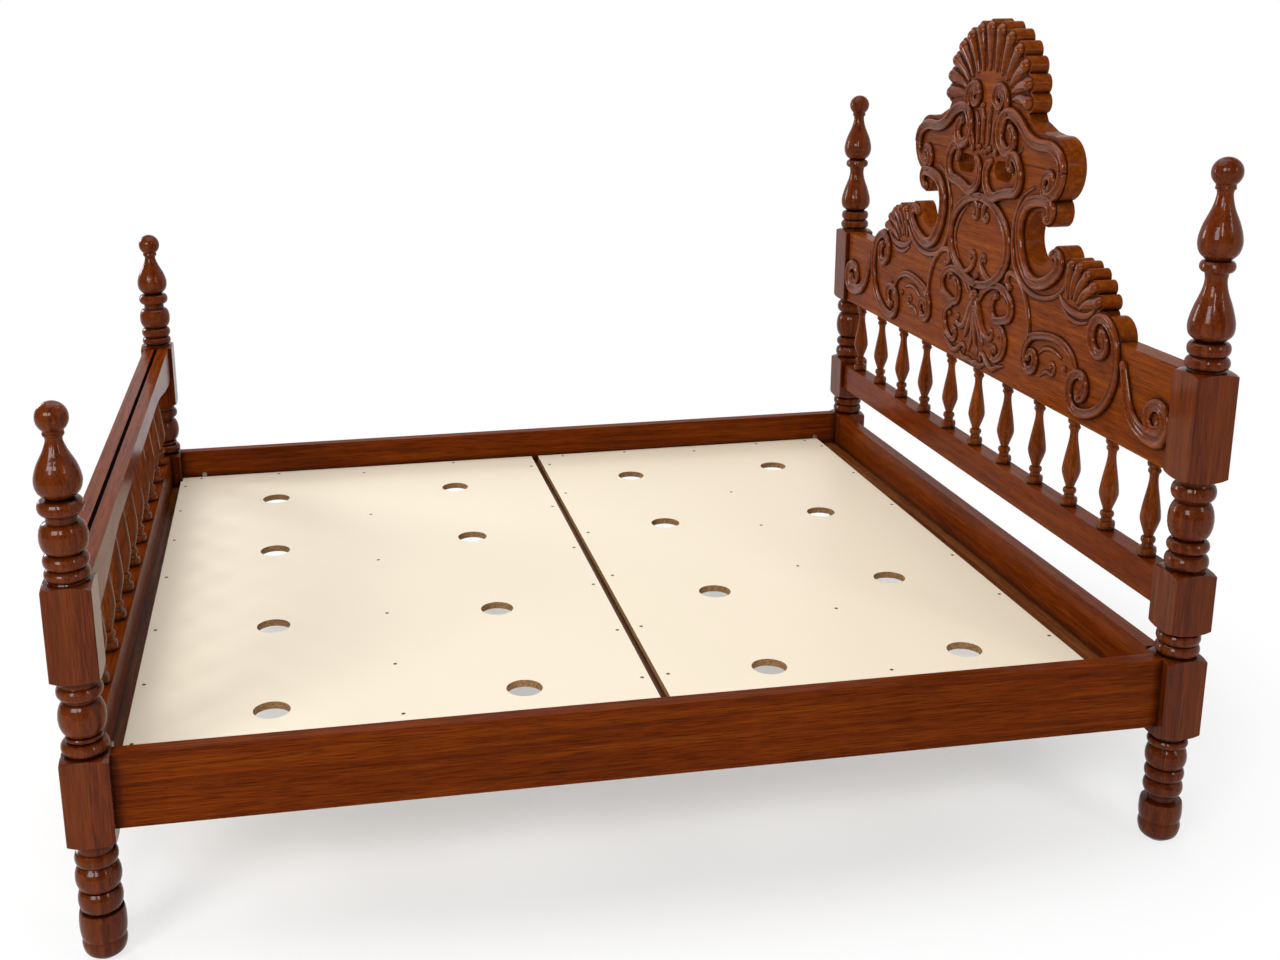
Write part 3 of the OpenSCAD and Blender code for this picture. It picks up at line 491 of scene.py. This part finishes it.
def smooth(points: Sequence[Point], steps: int = 6) -> list[Point]:
    """Points along a smooth curve through the control points."""
    out: list[Point] = []
    for i in range(len(points) - 1):
        a, b, c, d = (points[max(i - 1, 0)], points[i], points[i + 1], points[min(i + 2, len(points) - 1)])
        for k in range(steps):
            t = k / steps
            out.append(tuple(0.5 * (2 * b[j] + (c[j] - a[j]) * t + (2 * a[j] - 5 * b[j] + 4 * c[j] - d[j]) * t * t
                                    + (3 * b[j] - a[j] - 3 * c[j] + d[j]) * t ** 3) for j in (0, 1)))
    return out + [tuple(points[-1])]


def along(values: Sequence[float], t: float) -> float:
    """The value at t, from 0 to 1, along two or more evenly spread values."""
    s = t * (len(values) - 1)
    i = min(int(s), len(values) - 2)
    return values[i] + (values[i + 1] - values[i]) * (s - i)


def wind(start: Point, half: float, curl: Curl) -> tuple[list[Point], list[float]]:
    """The points and half widths of a volute that winds in from a moulding's end."""
    cx, cy = curl.centre
    radius, angle = math.hypot(start[0] - cx, start[1] - cy), math.atan2(start[1] - cy, start[0] - cx)
    last = half * curl.taper
    inner = max(last * 1.1, radius * INNER_SHARE)
    count = max(int(TURN_POINTS * curl.turns), 8)
    points, halves = [], []
    for k in range(1, count + 1):
        t = k / count
        r = radius + (inner - radius) * t ** 0.9
        a = angle + curl.sense * 2 * math.pi * curl.turns * t
        points.append((cx + r * math.cos(a), cy + r * math.sin(a)))
        halves.append(half + (last - half) * t)
    return points, halves


class Carver:
    """Cuts mouldings and knobs for one board and gathers them into one mesh."""

    def __init__(self, face_y: float, base_z: float) -> None:
        """Takes the y of the board's face and the z of its lower edge, in metres."""
        self.to_board = Matrix.Translation((0.0, face_y, base_z)) @ Matrix.Rotation(math.pi / 2, 4, "X")
        self.carved = bmesh.new()
        self.stain_and_shade = bmesh.new()
        self.sections = {s: self._section(s) for s in Section}

    @staticmethod
    def _section(section: Section) -> bpy.types.Object:
        """The closed curve that a moulding of that section is swept with."""
        data = bpy.data.curves.new("section_" + section.name.lower(), "CURVE")
        spline = data.splines.new("POLY")
        spline.points.add(len(section.value) - 1)
        for point, (u, v) in zip(spline.points, section.value):
            point.co = (u, v, 0.0, 1.0)
        spline.use_cyclic_u = True
        return bpy.data.objects.new(data.name, data)

    def _sweep(self, target: bmesh.types.BMesh, points: Sequence[Point], halves: Sequence[float], section: Section,
               rise: float, mirrored: bool) -> None:
        """Sweeps a section along points and adds it to the mesh, on both halves of the board if mirrored."""
        data = bpy.data.curves.new("moulding", "CURVE")
        data.dimensions = "3D"
        data.twist_mode = "Z_UP"
        data.bevel_mode = "OBJECT"
        data.bevel_object = self.sections[section]
        data.use_fill_caps = True
        spline = data.splines.new("POLY")
        spline.points.add(len(points) - 1)
        for point, (x, y), half in zip(spline.points, points, halves):
            point.co = (x * MM, y * MM, 0.0, 1.0)
            point.radius = half * MM
        holder = bpy.data.objects.new("moulding", data)
        bpy.context.scene.collection.objects.link(holder)
        bpy.context.view_layer.update()
        mesh = bpy.data.meshes.new_from_object(holder.evaluated_get(bpy.context.evaluated_depsgraph_get()))
        mesh.transform(Matrix.Diagonal((1.0, 1.0, rise, 1.0)))
        self._add(target, mesh, mirrored)
        bpy.data.objects.remove(holder)
        bpy.data.curves.remove(data)

    def _add(self, target: bmesh.types.BMesh, mesh: bpy.types.Mesh, mirrored: bool) -> None:
        """Stands a flat mesh on the board and adds it, and its mirror image if asked."""
        mesh.transform(self.to_board)
        target.from_mesh(mesh)
        if mirrored:
            mesh.transform(Matrix.Diagonal((-1.0, 1.0, 1.0, 1.0)))
            target.from_mesh(mesh)
        bpy.data.meshes.remove(mesh)

    def ribbon(self, ribbon: Ribbon) -> None:
        """Cuts one small moulding with its volute, the eye in it and the dark line beside it, which is painted shade
        as well as stain.
        """
        points = smooth(ribbon.path)
        halves = [along(ribbon.half, k / (len(points) - 1)) for k in range(len(points))]
        if ribbon.tail:
            curl, half = ribbon.tail, halves[-1]
            turn, thin = wind(points[-1], half, curl)
            # The eye is a little wider than the volute's thin end and a little prouder than the moulding
            self.knob(curl.centre, max(half * curl.taper, 3.5) * 1.15, ribbon.rise * half * 1.02, ribbon.mirrored)
            points, halves = points + turn, halves + thin
        self._sweep(self.carved, points, halves, ribbon.section, ribbon.rise, ribbon.mirrored)
        self.line(points, [h + RIBBON_STAIN_AND_SHADE for h in halves], ribbon.mirrored)

    def scroll(self, scroll: Scroll) -> None:
        """Cuts one main scroll over its band, with its volutes, their eyes and the dark line beside it, which is
        painted shade as well as stain.
        """
        main = arcs_through(scroll.start, scroll.heading, scroll.via)
        main += coil_arcs(main[-1].at(1.0), main[-1].heading + main[-1].turn, scroll.tail)
        head = walk(coil_arcs(scroll.start, scroll.heading + 180, scroll.head))
        points = head[:0:-1] + walk(main)
        halves = [along(scroll.half, k / (len(points) - 1)) for k in range(len(points))]
        self._sweep(self.carved, points, halves, scroll.section, scroll.rise, True)
        self.line(points, [h + SCROLL_STAIN_AND_SHADE for h in halves])
        for end, coil in ((points[-1], scroll.tail), (points[0], scroll.head)):
            radius = scroll.eye if coil else scroll.bud
            if radius:
                self.knob(end, radius, 0.95 * radius)

    def line(self, points: Sequence[Point], halves: Sequence[float], mirrored: bool = True,
             proud: float = 0.7) -> None:
        """Lays a dark line along points, nearly flush with the board: painted shade and gathered stain beside a
        moulding, or a glue line.
        """
        # The flat section stands 0.5 proud for a half width of 1
        self._sweep(self.stain_and_shade, points, halves, Section.FLAT, proud / max(halves) * 2, mirrored)

    def knob(self, at: Point, radius: float, proud: float, mirrored: bool = True) -> None:
        """Cuts a rounded bud or eye."""
        bm = bmesh.new()
        bmesh.ops.create_uvsphere(bm, u_segments=20, v_segments=12, radius=radius * MM)
        bmesh.ops.scale(bm, vec=(1.0, 1.0, proud / radius), verts=bm.verts)
        bmesh.ops.translate(bm, vec=(at[0] * MM, at[1] * MM, 0.0), verts=bm.verts)
        mesh = bpy.data.meshes.new("knob")
        bm.to_mesh(mesh)
        bm.free()
        self._add(self.carved, mesh, mirrored)

    def finish(self, name: str, wood: bpy.types.Material, stain_and_shade: bpy.types.Material) -> None:
        """Turns what was cut into two pieces that ride on the bed: the carving and its dark lines of painted shade and
        stain.
        """
        for bm, label, material, smooth_faces in ((self.carved, name, wood, True),
                                                  (self.stain_and_shade, name + "_stain", stain_and_shade, False)):
            bmesh.ops.remove_doubles(bm, verts=bm.verts, dist=1e-6)
            bmesh.ops.recalc_face_normals(bm, faces=bm.faces)
            for face in bm.faces:
                face.smooth = smooth_faces
            make_piece(bm, label, material)


def make_piece(bm: bmesh.types.BMesh, name: str, material: bpy.types.Material) -> None:
    """Turns a mesh in the bed's frame into a piece that rides on the bed.

    Args:
        bm: the mesh, which is freed.
        name: the piece's name.
        material: its finish.
    """
    mesh = bpy.data.meshes.new(name)
    bm.to_mesh(mesh)
    bm.free()
    mesh.materials.append(material)
    piece = bpy.data.objects.new(name, mesh)
    bpy.context.scene.collection.objects.link(piece)
    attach(piece, "root")
    LOG.info("piece %s: %d faces", name, len(mesh.polygons))


# ---------------------------------------------------------------- the bed


@dataclass(frozen=True)
class Posts:
    """The four turned posts, each from a blank glued up of two boards."""

    names: tuple[str, ...] = ("post_head_left", "post_head_right", "post_foot_left", "post_foot_right")

    def build(self, frame: dict, palette: Palette) -> None:
        """Dresses the posts."""
        dress(frame, self.names, palette.posts)


@dataclass(frozen=True)
class Shell:
    """The shell on the crest: its lobes, their roots and how far they spread, in mm and degrees."""

    lobes: int = 13
    sweep: float = 91.0
    centre: float = 673.0
    tip: Point = (204.0, 158.0)
    root: Point = (128.0, 66.0)

    def at(self, index: float, reach: float) -> Point:
        """A point on flute number index; reach runs from 0 at its root to 1 at its tip."""
        a = math.radians(-self.sweep + index * 2 * self.sweep / (self.lobes - 1))
        ex, ez = (self.root[k] + (self.tip[k] - self.root[k]) * reach for k in (0, 1))
        return ex * math.sin(a), self.centre + ez * math.cos(a)

    def carve(self, carver: Carver) -> None:
        """Cuts one swelling flute to each lobe and lays a dark line of painted shade and stain in each quirk between
        them.
        """
        for i in range(self.lobes):
            lean = (i - (self.lobes - 1) / 2) / (self.lobes - 1)
            path = (self.at(i, -0.06), self.at(i - 0.55 * lean, 0.3), self.at(i - 0.35 * lean, 0.65), self.at(i, 1.0))
            carver.ribbon(Ribbon(path, (4.5, 8.0, 12.0, 16.0), rise=0.88, mirrored=False))
            carver.knob(self.at(i, 1.02), 17.0, 15.0, mirrored=False)
        for i in range(self.lobes - 1):
            # A dark line in each quirk between two flutes is painted shade as well as gathered stain
            quirk = smooth([self.at(i + 0.5, r) for r in (0.0, 0.35, 0.7, 1.0)], 4)
            carver.line(quirk, [2.5 + 4.5 * k / len(quirk) for k in range(len(quirk))], mirrored=False, proud=1.4)


@dataclass(frozen=True)
class Fan:
    """The fan of lobes on each shoulder of the panel, in mm and degrees.

    The tips and the roots each lie on a circle, at angles from the first lobe's over a spread.
    Each flute bows sideways, and the roots' circle lies a little nearer to the board's middle.
    """

    lobes: int = 5
    centre: Point = (470.0, 218.0)
    radius: float = 119.0
    root: float = 46.0
    tip_from: float = -8
    tip_spread: float = 68
    root_from: float = -22
    root_spread: float = 74
    root_shift: float = 10
    bow: float = 9

    def carve(self, carver: Carver) -> None:
        """Cuts the flutes of the right fan and mirrors them."""
        for i in range(self.lobes):
            a = math.radians(self.tip_from + i * self.tip_spread / (self.lobes - 1))
            b = math.radians(self.root_from + i * self.root_spread / (self.lobes - 1))
            tip = (self.centre[0] + self.radius * math.sin(a), self.centre[1] + self.radius * math.cos(a))
            start = (self.centre[0] - self.root_shift + self.root * math.sin(b),
                     self.centre[1] + self.root * math.cos(b))
            middle = ((tip[0] + start[0]) / 2 - self.bow * math.cos(a),
                      (tip[1] + start[1]) / 2 + self.bow * math.sin(a))
            carver.ribbon(Ribbon((start, middle, tip), (3.5, 7.5, 12.5), rise=0.95))
            carver.knob(tip, 13.6, 12.8)


@dataclass(frozen=True)
class Headboard:
    """The carved panel and crest, the spindle rail and the spindles.

    Paths are in mm over the board: x from its middle, y up from the panel's lower edge. Only
    the right half is written; the left half is its mirror image.
    """

    spindles: int = 11
    shell: Shell = Shell()
    fan: Fan = Fan()
    # where the glue line under the crest shows, from x to x
    seam: tuple[float, float] = (192, 302)

    crest_scrolls: tuple[Scroll, ...] = (
        # the S from the middle volute over the shoulder, down to the glue line
        Scroll((385, 531), 90, ((366, 566), (300, 582), (230, 592), (196, 612), (135, 641)),
               (13.5, 14, 14, 14, 13, 11), rise=0.9, tail=Coil(46, 1), bud=0.0),
        # the stem and volute beside the middle of the shell
        Scroll((62, 545), 78, ((82, 594), (105, 650), (66, 698)), (9.5, 11.5, 11.5, 8.8, 8.4), rise=0.95,
               tail=Coil(23, 1), eye=9.6),
    )
    panel_scrolls: tuple[Scroll, ...] = (
        # the lower end of the S, in the shoulder volute
        Scroll((385, 531), -90, ((336, 471),), (13.5, 12, 11), rise=0.9, tail=Coil(25, -1), bud=0.0),
        # the C round the pierced opening
        Scroll((38, 520), 205, ((17, 488), (84, 441), (160, 458), (193, 505), (165, 543)), (10, 13, 13, 13, 11),
               tail=Coil(18, 1, 1), eye=11.0),
        # the C round the bite in the board's side
        Scroll((333, 459), 176, ((258, 450), (210, 378), (243, 299), (321, 272), (400, 314)), (11, 14, 15, 15, 14, 11),
               section=Section.REEDED_OUT, tail=Coil(22, 1, 1), head=Coil(20, -1, 1), eye=13.0),
        # the big volute, its sweep and the lower volute
        Scroll((526, 26), 0, ((612, 54), (660, 196), (614, 246)), (10.5, 11, 11.5, 12, 12, 10.5), tail=Coil(40, 1),
               head=Coil(42, -1)),
        # the long C above the spindles
        Scroll((270, 92), 90, ((312, 148), (398, 163), (472, 149), (506, 112)), (9, 9.5, 11, 11, 9, 8),
               head=Coil(28, 1), eye=10.5),
        # the end scroll beside the post
        Scroll((692, 170), -70, ((719, 101), (765, 57), (823, 47), (861, 78)), (10.5, 15, 17, 15, 12, 10.5, 10.5),
               rise=0.72, tail=Coil(35, 1)),
        # the small scroll beside the cartouche
        Scroll((178, 272), 0, ((232, 252), (284, 136)), (8, 8.5, 8, 7), section=Section.ROUND, head=Coil(18, 1, 1),
               eye=9.0),
        # the kidney-shaped scroll of the leaf
        Scroll((20, 176), 55, ((132, 229), (186, 205), (176, 158), (128, 145)), (8.5, 10, 11, 10, 9),
               tail=Coil(30, -1, 1), eye=10.0),
        # the rim of the cartouche
        Scroll((0, 429), 0, ((128.9, 382.7), (128.9, 259.3), (0, 213)), (11, 11.5, 12, 11.5, 11), bud=0.0),
    )
    crest_lines: tuple[Ribbon, ...] = (
        Ribbon(((47, 546), (41, 580), (44, 610), (60, 634)), (4, 7, 7, 4), 0.95),
        Ribbon(((12, 556), (17, 590), (14, 620), (26, 650)), (4, 7, 7, 4), 0.95),
        Ribbon(((118, 560), (160, 548), (192, 566)), (3, 5, 3), 0.8),
    )
    crest_buds: tuple[tuple[float, float, float], ...] = ((28, 549, 9), (22, 650, 8), (8, 540, 8))

    panel_lines: tuple[Ribbon, ...] = (
        # the bead outside the bite
        Ribbon(((262, 484), (212, 460), (184, 420), (172, 372), (177, 322), (200, 280), (240, 252), (292, 240),
                (348, 243), (400, 262), (436, 296), (446, 332)), (3, 5, 6.5, 7, 7, 7, 6, 5, 3), 0.8),
        # the leaf under the fan
        Ribbon(((404, 266), (432, 246), (476, 236), (520, 238), (552, 252), (566, 272)), (3, 7, 9, 8, 6, 3), 0.7),
        Ribbon(((420, 240), (458, 221), (500, 218), (536, 227)), (2.5, 5, 5, 2.5), 0.85),
        # inside the long C
        Ribbon(((334, 112), (362, 130), (400, 134), (440, 124)), (3, 5, 5, 3), 0.85),
        Ribbon(((346, 62), (374, 78), (398, 76)), (2.5, 5, 5), 0.9, tail=Curl((398, 94), 0.9, 1, 0.7)),
        # curls of the cartouche's rim at its top and its foot
        Ribbon(((60, 420), (34, 419), (17, 406), (15, 388)), (7, 8.5, 8.5, 7), 0.95,
               tail=Curl((31, 386), 0.8, 1, 0.7)),
        Ribbon(((84, 231), (56, 236), (31, 250), (17, 272)), (6, 8.5, 8.5, 7), 0.95,
               tail=Curl((32, 277), 0.7, -1, 0.7)),
        # the inner bead of the cartouche
        Ribbon(((72, 402), (112, 370), (136, 330), (134, 292), (106, 256)), (2.5, 5, 6, 5, 2.5), 0.8),
        # leaves under the kidney-shaped scrolls
        Ribbon(((6, 172), (24, 146), (44, 112), (68, 92), (92, 92)), (11, 13, 11, 9, 7), 0.8,
               tail=Curl((90, 108), 0.6)),
        Ribbon(((8, 166), (16, 130), (36, 92), (52, 66)), (7, 10, 9, 3), 0.85),
        Ribbon(((134, 214), (156, 214), (160, 196)), (5, 7, 5), 0.95),
        Ribbon(((130, 134), (156, 124), (170, 98), (158, 66), (130, 48)), (7, 10, 11, 10, 8), 0.8, Section.REEDED,
               tail=Curl((116, 66), 0.9, -1, 0.7)),
        Ribbon(((170, 42), (138, 32), (110, 20), (82, 30), (64, 44)), (2, 6, 8, 8, 7), 0.9, tail=Curl((52, 32), 0.6)),
        Ribbon(((72, 24), (46, 12), (20, 14), (0, 10)), (4, 8, 9, 7), 0.85),
        Ribbon(((2, 160), (5, 116), (10, 72), (26, 34)), (8, 9, 7, 3), 0.85),
    )
    panel_buds: tuple[tuple[float, float, float], ...] = ((0, 184, 17), (140, 110, 8), (0, 232, 10), (0, 410, 9),
                                                          (456, 104, 8))

    def build(self, frame: dict, palette: Palette) -> None:
        """Dresses the headboard and carves it."""
        dress(frame, ["headboard_panel"], palette.carved)
        dress(frame, ["headboard_crest"], palette.crest)
        dress(frame, ["headboard_low_rail"], palette.planks_x)
        dress(frame, [f"headboard_spindle_{i + 1:02d}" for i in range(self.spindles)], palette.turned)
        face_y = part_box("headboard_low_rail")[0].y
        base_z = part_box("headboard_panel")[0].z
        crest = Carver(face_y, base_z)
        self.shell.carve(crest)
        for scroll in self.crest_scrolls:
            crest.scroll(scroll)
        for ribbon in self.crest_lines:
            crest.ribbon(ribbon)
        for x, y, r in self.crest_buds:
            crest.knob((x, y), r, r * 1.1)
        crest.finish("carving_crest", palette.ridges, palette.stain_and_shade)
        panel = Carver(face_y, base_z)
        self.fan.carve(panel)
        for scroll in self.panel_scrolls:
            panel.scroll(scroll)
        for ribbon in self.panel_lines:
            panel.ribbon(ribbon)
        for x, y, r in self.panel_buds:
            panel.knob((x, y), r, r, mirrored=x > 0)
        seam_y = (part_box("headboard_crest")[0].z - base_z) / MM
        panel.line([(x, seam_y) for x in self.seam], [0.9, 0.9], proud=0.5)
        panel.finish("carving_panel", palette.ridges, palette.stain_and_shade)


@dataclass(frozen=True)
class Footboard:
    """The grooved top rail on its turned spindles."""

    spindles: int = 11

    def build(self, frame: dict, palette: Palette) -> None:
        """Dresses the footboard."""
        dress(frame, ["footboard_top_rail"], palette.planks_x)
        dress(frame, [f"footboard_spindle_{i + 1:02d}" for i in range(self.spindles)], palette.turned)


@dataclass(frozen=True)
class Rails:
    """The four bed rails and the bolts that hold them."""

    def build(self, frame: dict, palette: Palette) -> None:
        """Dresses the rails, bolts and nuts."""
        dress(frame, ["head_end_rail", "foot_end_rail"], palette.planks_x)
        dress(frame, ["side_rail_left", "side_rail_right"], palette.planks_y)
        dress(frame, ["bed_bolts", "cross_nuts"], palette.steel)


@dataclass(frozen=True)
class Deck:
    """The two faced boards, the bearers below them and the screws that hold them, in mm."""

    head_radius: float = 4.4
    head_thick: float = 0.5
    head_lift: float = 0.15
    recess: float = 0.3
    # each row of screws: its y, then the x of its screws
    rows: tuple[tuple[float, tuple[float, ...]], ...] = (
        (-1004, (-825, -607, -372, -109, 213, 493, 752)),
        (-482, (-849, -471, -123, 219, 494, 726)),
        (20, (-809, -434, -110, 143, 415, 659)),
        (77, (-814, -540, -211, 96, 406, 653)),
        (541, (-858, -454, -173, 126, 395, 724)),
        (945, (-826, -551, -261, 132, 390, 629)),
    )
    column_x: float = -892
    column: tuple[float, ...] = (-961, -734, -209, 131, 326, 752, 912)

    def build(self, frame: dict, palette: Palette) -> None:
        """Dresses the boards and bearers and drives the screws."""
        dress(frame, ["deck_foot"], palette.deck_a)
        dress(frame, ["deck_head"], palette.deck_b)
        dress(frame, ["bearer_foot", "bearer_seam", "bearer_head", "cleat_head", "cleat_foot"], palette.bearers)
        dress(frame, ["cleat_left", "cleat_right"], palette.cleats)
        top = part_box("deck_foot")[1].z
        places = [(x, y) for y, xs in self.rows for x in xs] + [(self.column_x, y) for y in self.column]
        bm = bmesh.new()
        for x, y in places:
            self._screw(bm, x * MM, y * MM, top)
        bmesh.ops.recalc_face_normals(bm, faces=bm.faces)
        make_piece(bm, "deck_screws", palette.screw)

    def _screw(self, bm: bmesh.types.BMesh, x: float, y: float, top: float) -> None:
        """Adds one countersunk head with a shallow round recess, nearly flush with the board."""
        r = self.head_radius * MM
        made = bmesh.ops.create_cone(bm, cap_ends=True, segments=24, radius1=r, radius2=r * 0.86,
                                     depth=self.head_thick * MM,
                                     matrix=Matrix.Translation((x, y, top + self.head_lift * MM)))
        lid = max({f for v in made["verts"] for f in v.link_faces}, key=lambda f: f.calc_center_median().z)
        bmesh.ops.inset_region(bm, faces=[lid], thickness=r * 0.45)
        bmesh.ops.translate(bm, vec=(0.0, 0.0, -self.recess * MM), verts=lid.verts)


# ---------------------------------------------------------------- studio


@dataclass(frozen=True)
class PhotoCamera:
    """The camera, solved from the posts, rails and deck of the bed in the picture.

    Its place is in metres and its angles are in degrees. The lens and the offset of the optical
    axis from the middle of the frame are in pixels of the frame.
    """

    at: tuple[float, float, float] = (3.4140, -0.6310, 1.7030)
    azimuth: float = 80.646
    elevation: float = 15.083
    roll: float = -0.770
    focal_px: float = 1480.0
    centre_px: Point = (-95.0, -84.0)
    frame_width_px: int = 1280
    sensor_mm: float = 36.0

    def build(self) -> None:
        """Makes the camera the scene's camera."""
        a, e, r = (math.radians(v) for v in (self.azimuth, self.elevation, self.roll))
        back = Vector((math.sin(a) * math.cos(e), -math.cos(a) * math.cos(e), math.sin(e)))
        side = Vector((0, 0, 1)).cross(back).normalized()
        top = back.cross(side)
        right, up = math.cos(r) * side + math.sin(r) * top, math.cos(r) * top - math.sin(r) * side
        data = bpy.data.cameras.new("photo_camera")
        data.sensor_width = self.sensor_mm
        data.lens = self.sensor_mm * self.focal_px / self.frame_width_px
        data.shift_x = -self.centre_px[0] / self.frame_width_px
        data.shift_y = self.centre_px[1] / self.frame_width_px
        data.clip_end = 60.0
        camera = bpy.data.objects.new("photo_camera", data)
        camera.matrix_world = Matrix.Translation(self.at) @ Matrix((right, up, back)).transposed().to_4x4()
        bpy.context.scene.collection.objects.link(camera)
        bpy.context.scene.camera = camera
        LOG.info("camera at %s, lens %.2f mm", self.at, data.lens)


@dataclass(frozen=True)
class SoftBox:
    """One large soft lamp: where it hangs, what it faces, its size and its power."""

    name: str
    at: tuple[float, float, float]
    towards: tuple[float, float, float]
    size: Point
    watts: float

    def build(self) -> None:
        """Hangs the lamp, which is white."""
        data = bpy.data.lights.new(self.name, "AREA")
        data.shape = "RECTANGLE"
        data.size, data.size_y = self.size
        data.energy = self.watts
        lamp = bpy.data.objects.new(self.name, data)
        lamp.location = self.at
        lamp.rotation_euler = (Vector(self.towards) - Vector(self.at)).to_track_quat("-Z", "Y").to_euler()
        bpy.context.scene.collection.objects.link(lamp)


@dataclass(frozen=True)
class Studio:
    """A pale floor that sweeps up into a white backdrop, and soft light. Lengths are in metres."""

    lamps: tuple[SoftBox, ...] = (
        SoftBox("soft_box_top", (-0.5, -0.2, 4.5), (0.0, 0.0, 0.3), (4.5, 3.5), 138.0),
        SoftBox("window_far_left", (-3.4, -3.6, 2.1), (0.3, 1.0, 0.9), (1.1, 1.4), 95.0),
        SoftBox("window_left", (4.2, -3.6, 3.2), (0.0, 0.2, 0.7), (2.1, 1.4), 165.0),
        SoftBox("window_right", (4.4, 3.0, 3.2), (0.0, 0.4, 0.7), (0.7, 1.3), 32.0),
        SoftBox("window_behind_camera", (5.0, -1.0, 3.6), (0.2, 0.0, 0.7), (0.6, 1.2), 52.0),
    )
    world_strength: float = 0.14
    floor_centre: Point = (1.5, -0.5)
    floor_half: Point = (6.5, 7.5)
    wall_height: float = 7.0
    sweep_radius: float = 1.6

    def build(self) -> None:
        """Makes the floor, the backdrop, the world and the lamps."""
        scene = bpy.context.scene
        scene.view_settings.view_transform = "Standard"
        world = bpy.data.worlds.new("studio")
        scene.world = world
        world.use_nodes = True
        background = world.node_tree.nodes["Background"]
        background.inputs["Color"].default_value = linear("#ffffff")
        background.inputs["Strength"].default_value = self.world_strength
        self._sweep()
        for lamp in self.lamps:
            lamp.build()

    def _sweep(self) -> None:
        """Makes the floor with its far edges curved up behind the bed."""
        bm = bmesh.new()
        at = Matrix.Translation((*self.floor_centre, 0.0)) @ Matrix.Diagonal((*self.floor_half, 1.0, 1.0))
        bmesh.ops.create_grid(bm, x_segments=1, y_segments=1, size=1.0, matrix=at)
        # The two edges that the camera looks towards, found to within a metre
        far_x = self.floor_centre[0] - self.floor_half[0] + 1
        far_y = self.floor_centre[1] + self.floor_half[1] - 1
        behind = [e for e in bm.edges
                  if all(v.co.x < far_x for v in e.verts) or all(v.co.y > far_y for v in e.verts)]
        walls = bmesh.ops.extrude_edge_only(bm, edges=behind)["geom"]
        bmesh.ops.translate(bm, vec=(0.0, 0.0, self.wall_height),
                            verts=[v for v in walls if isinstance(v, bmesh.types.BMVert)])
        creases = [e for e in bm.edges if all(v.co.z < 0.01 for v in e.verts) and len(e.link_faces) == 2]
        bmesh.ops.bevel(bm, geom=creases, offset=self.sweep_radius, offset_type="OFFSET", segments=16, profile=0.5,
                        affect="EDGES", material=-1)
        for face in bm.faces:
            face.smooth = True
        bmesh.ops.recalc_face_normals(bm, faces=bm.faces)
        mesh = bpy.data.meshes.new("studio_sweep")
        bm.to_mesh(mesh)
        bm.free()
        mesh.materials.append(self._paper())
        sweep = bpy.data.objects.new("studio_sweep", mesh)
        bpy.context.scene.collection.objects.link(sweep)

    def _paper(self) -> bpy.types.Material:
        """White paper, which keeps the bed's shadow near it and fades to plain white further off."""
        g = Graph("paper_white_backdrop")
        fibre = g.add("TexNoise", Vector=g.place([60.0] * 3), Scale=1.0, Detail=2.0).outputs[0]
        colour = g.mix(g.remap(fibre, 0.0, 0.3), linear("#fbfbfb"), linear("#f7f7f6"))
        paper = g.add("BsdfDiffuse", Color=colour)
        path = g.add("LightPath")
        seen = g.math("MAXIMUM", path.outputs["Is Camera Ray"],
                      g.math("MAXIMUM", path.outputs["Is Glossy Ray"], path.outputs["Is Transmission Ray"]))
        # An oval round the bed: about 0.5 beside the middle of each rail, and plain white from 0.88 on
        away = g.add("VectorMath", {"operation": "LENGTH"}, i0=g.place([0.55, 0.45, 1.0])).outputs["Value"]
        far = g.add("MapRange", {"interpolation_type": "SMOOTHSTEP"}, i0=away, i1=0.50, i2=0.88, i3=0.44,
                    i4=1.0).outputs[0]
        white = g.add("Emission", Color=linear("#ffffff"), Strength=1.0)
        return g.finish(g.add("MixShader", i0=g.math("MULTIPLY", seen, far), i1=paper.outputs[0],
                              i2=white.outputs[0]))


def main() -> None:
    """Builds the scene."""
    logging.basicConfig(level=logging.INFO, format="%(name)s: %(message)s")
    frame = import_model()
    PhotoCamera().build()
    palette = Palette.build()
    for assembly in (Posts(), Headboard(), Footboard(), Rails(), Deck()):
        assembly.build(frame, palette)
    Studio().build()
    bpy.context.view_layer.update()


if __name__ == "__main__":
    main()
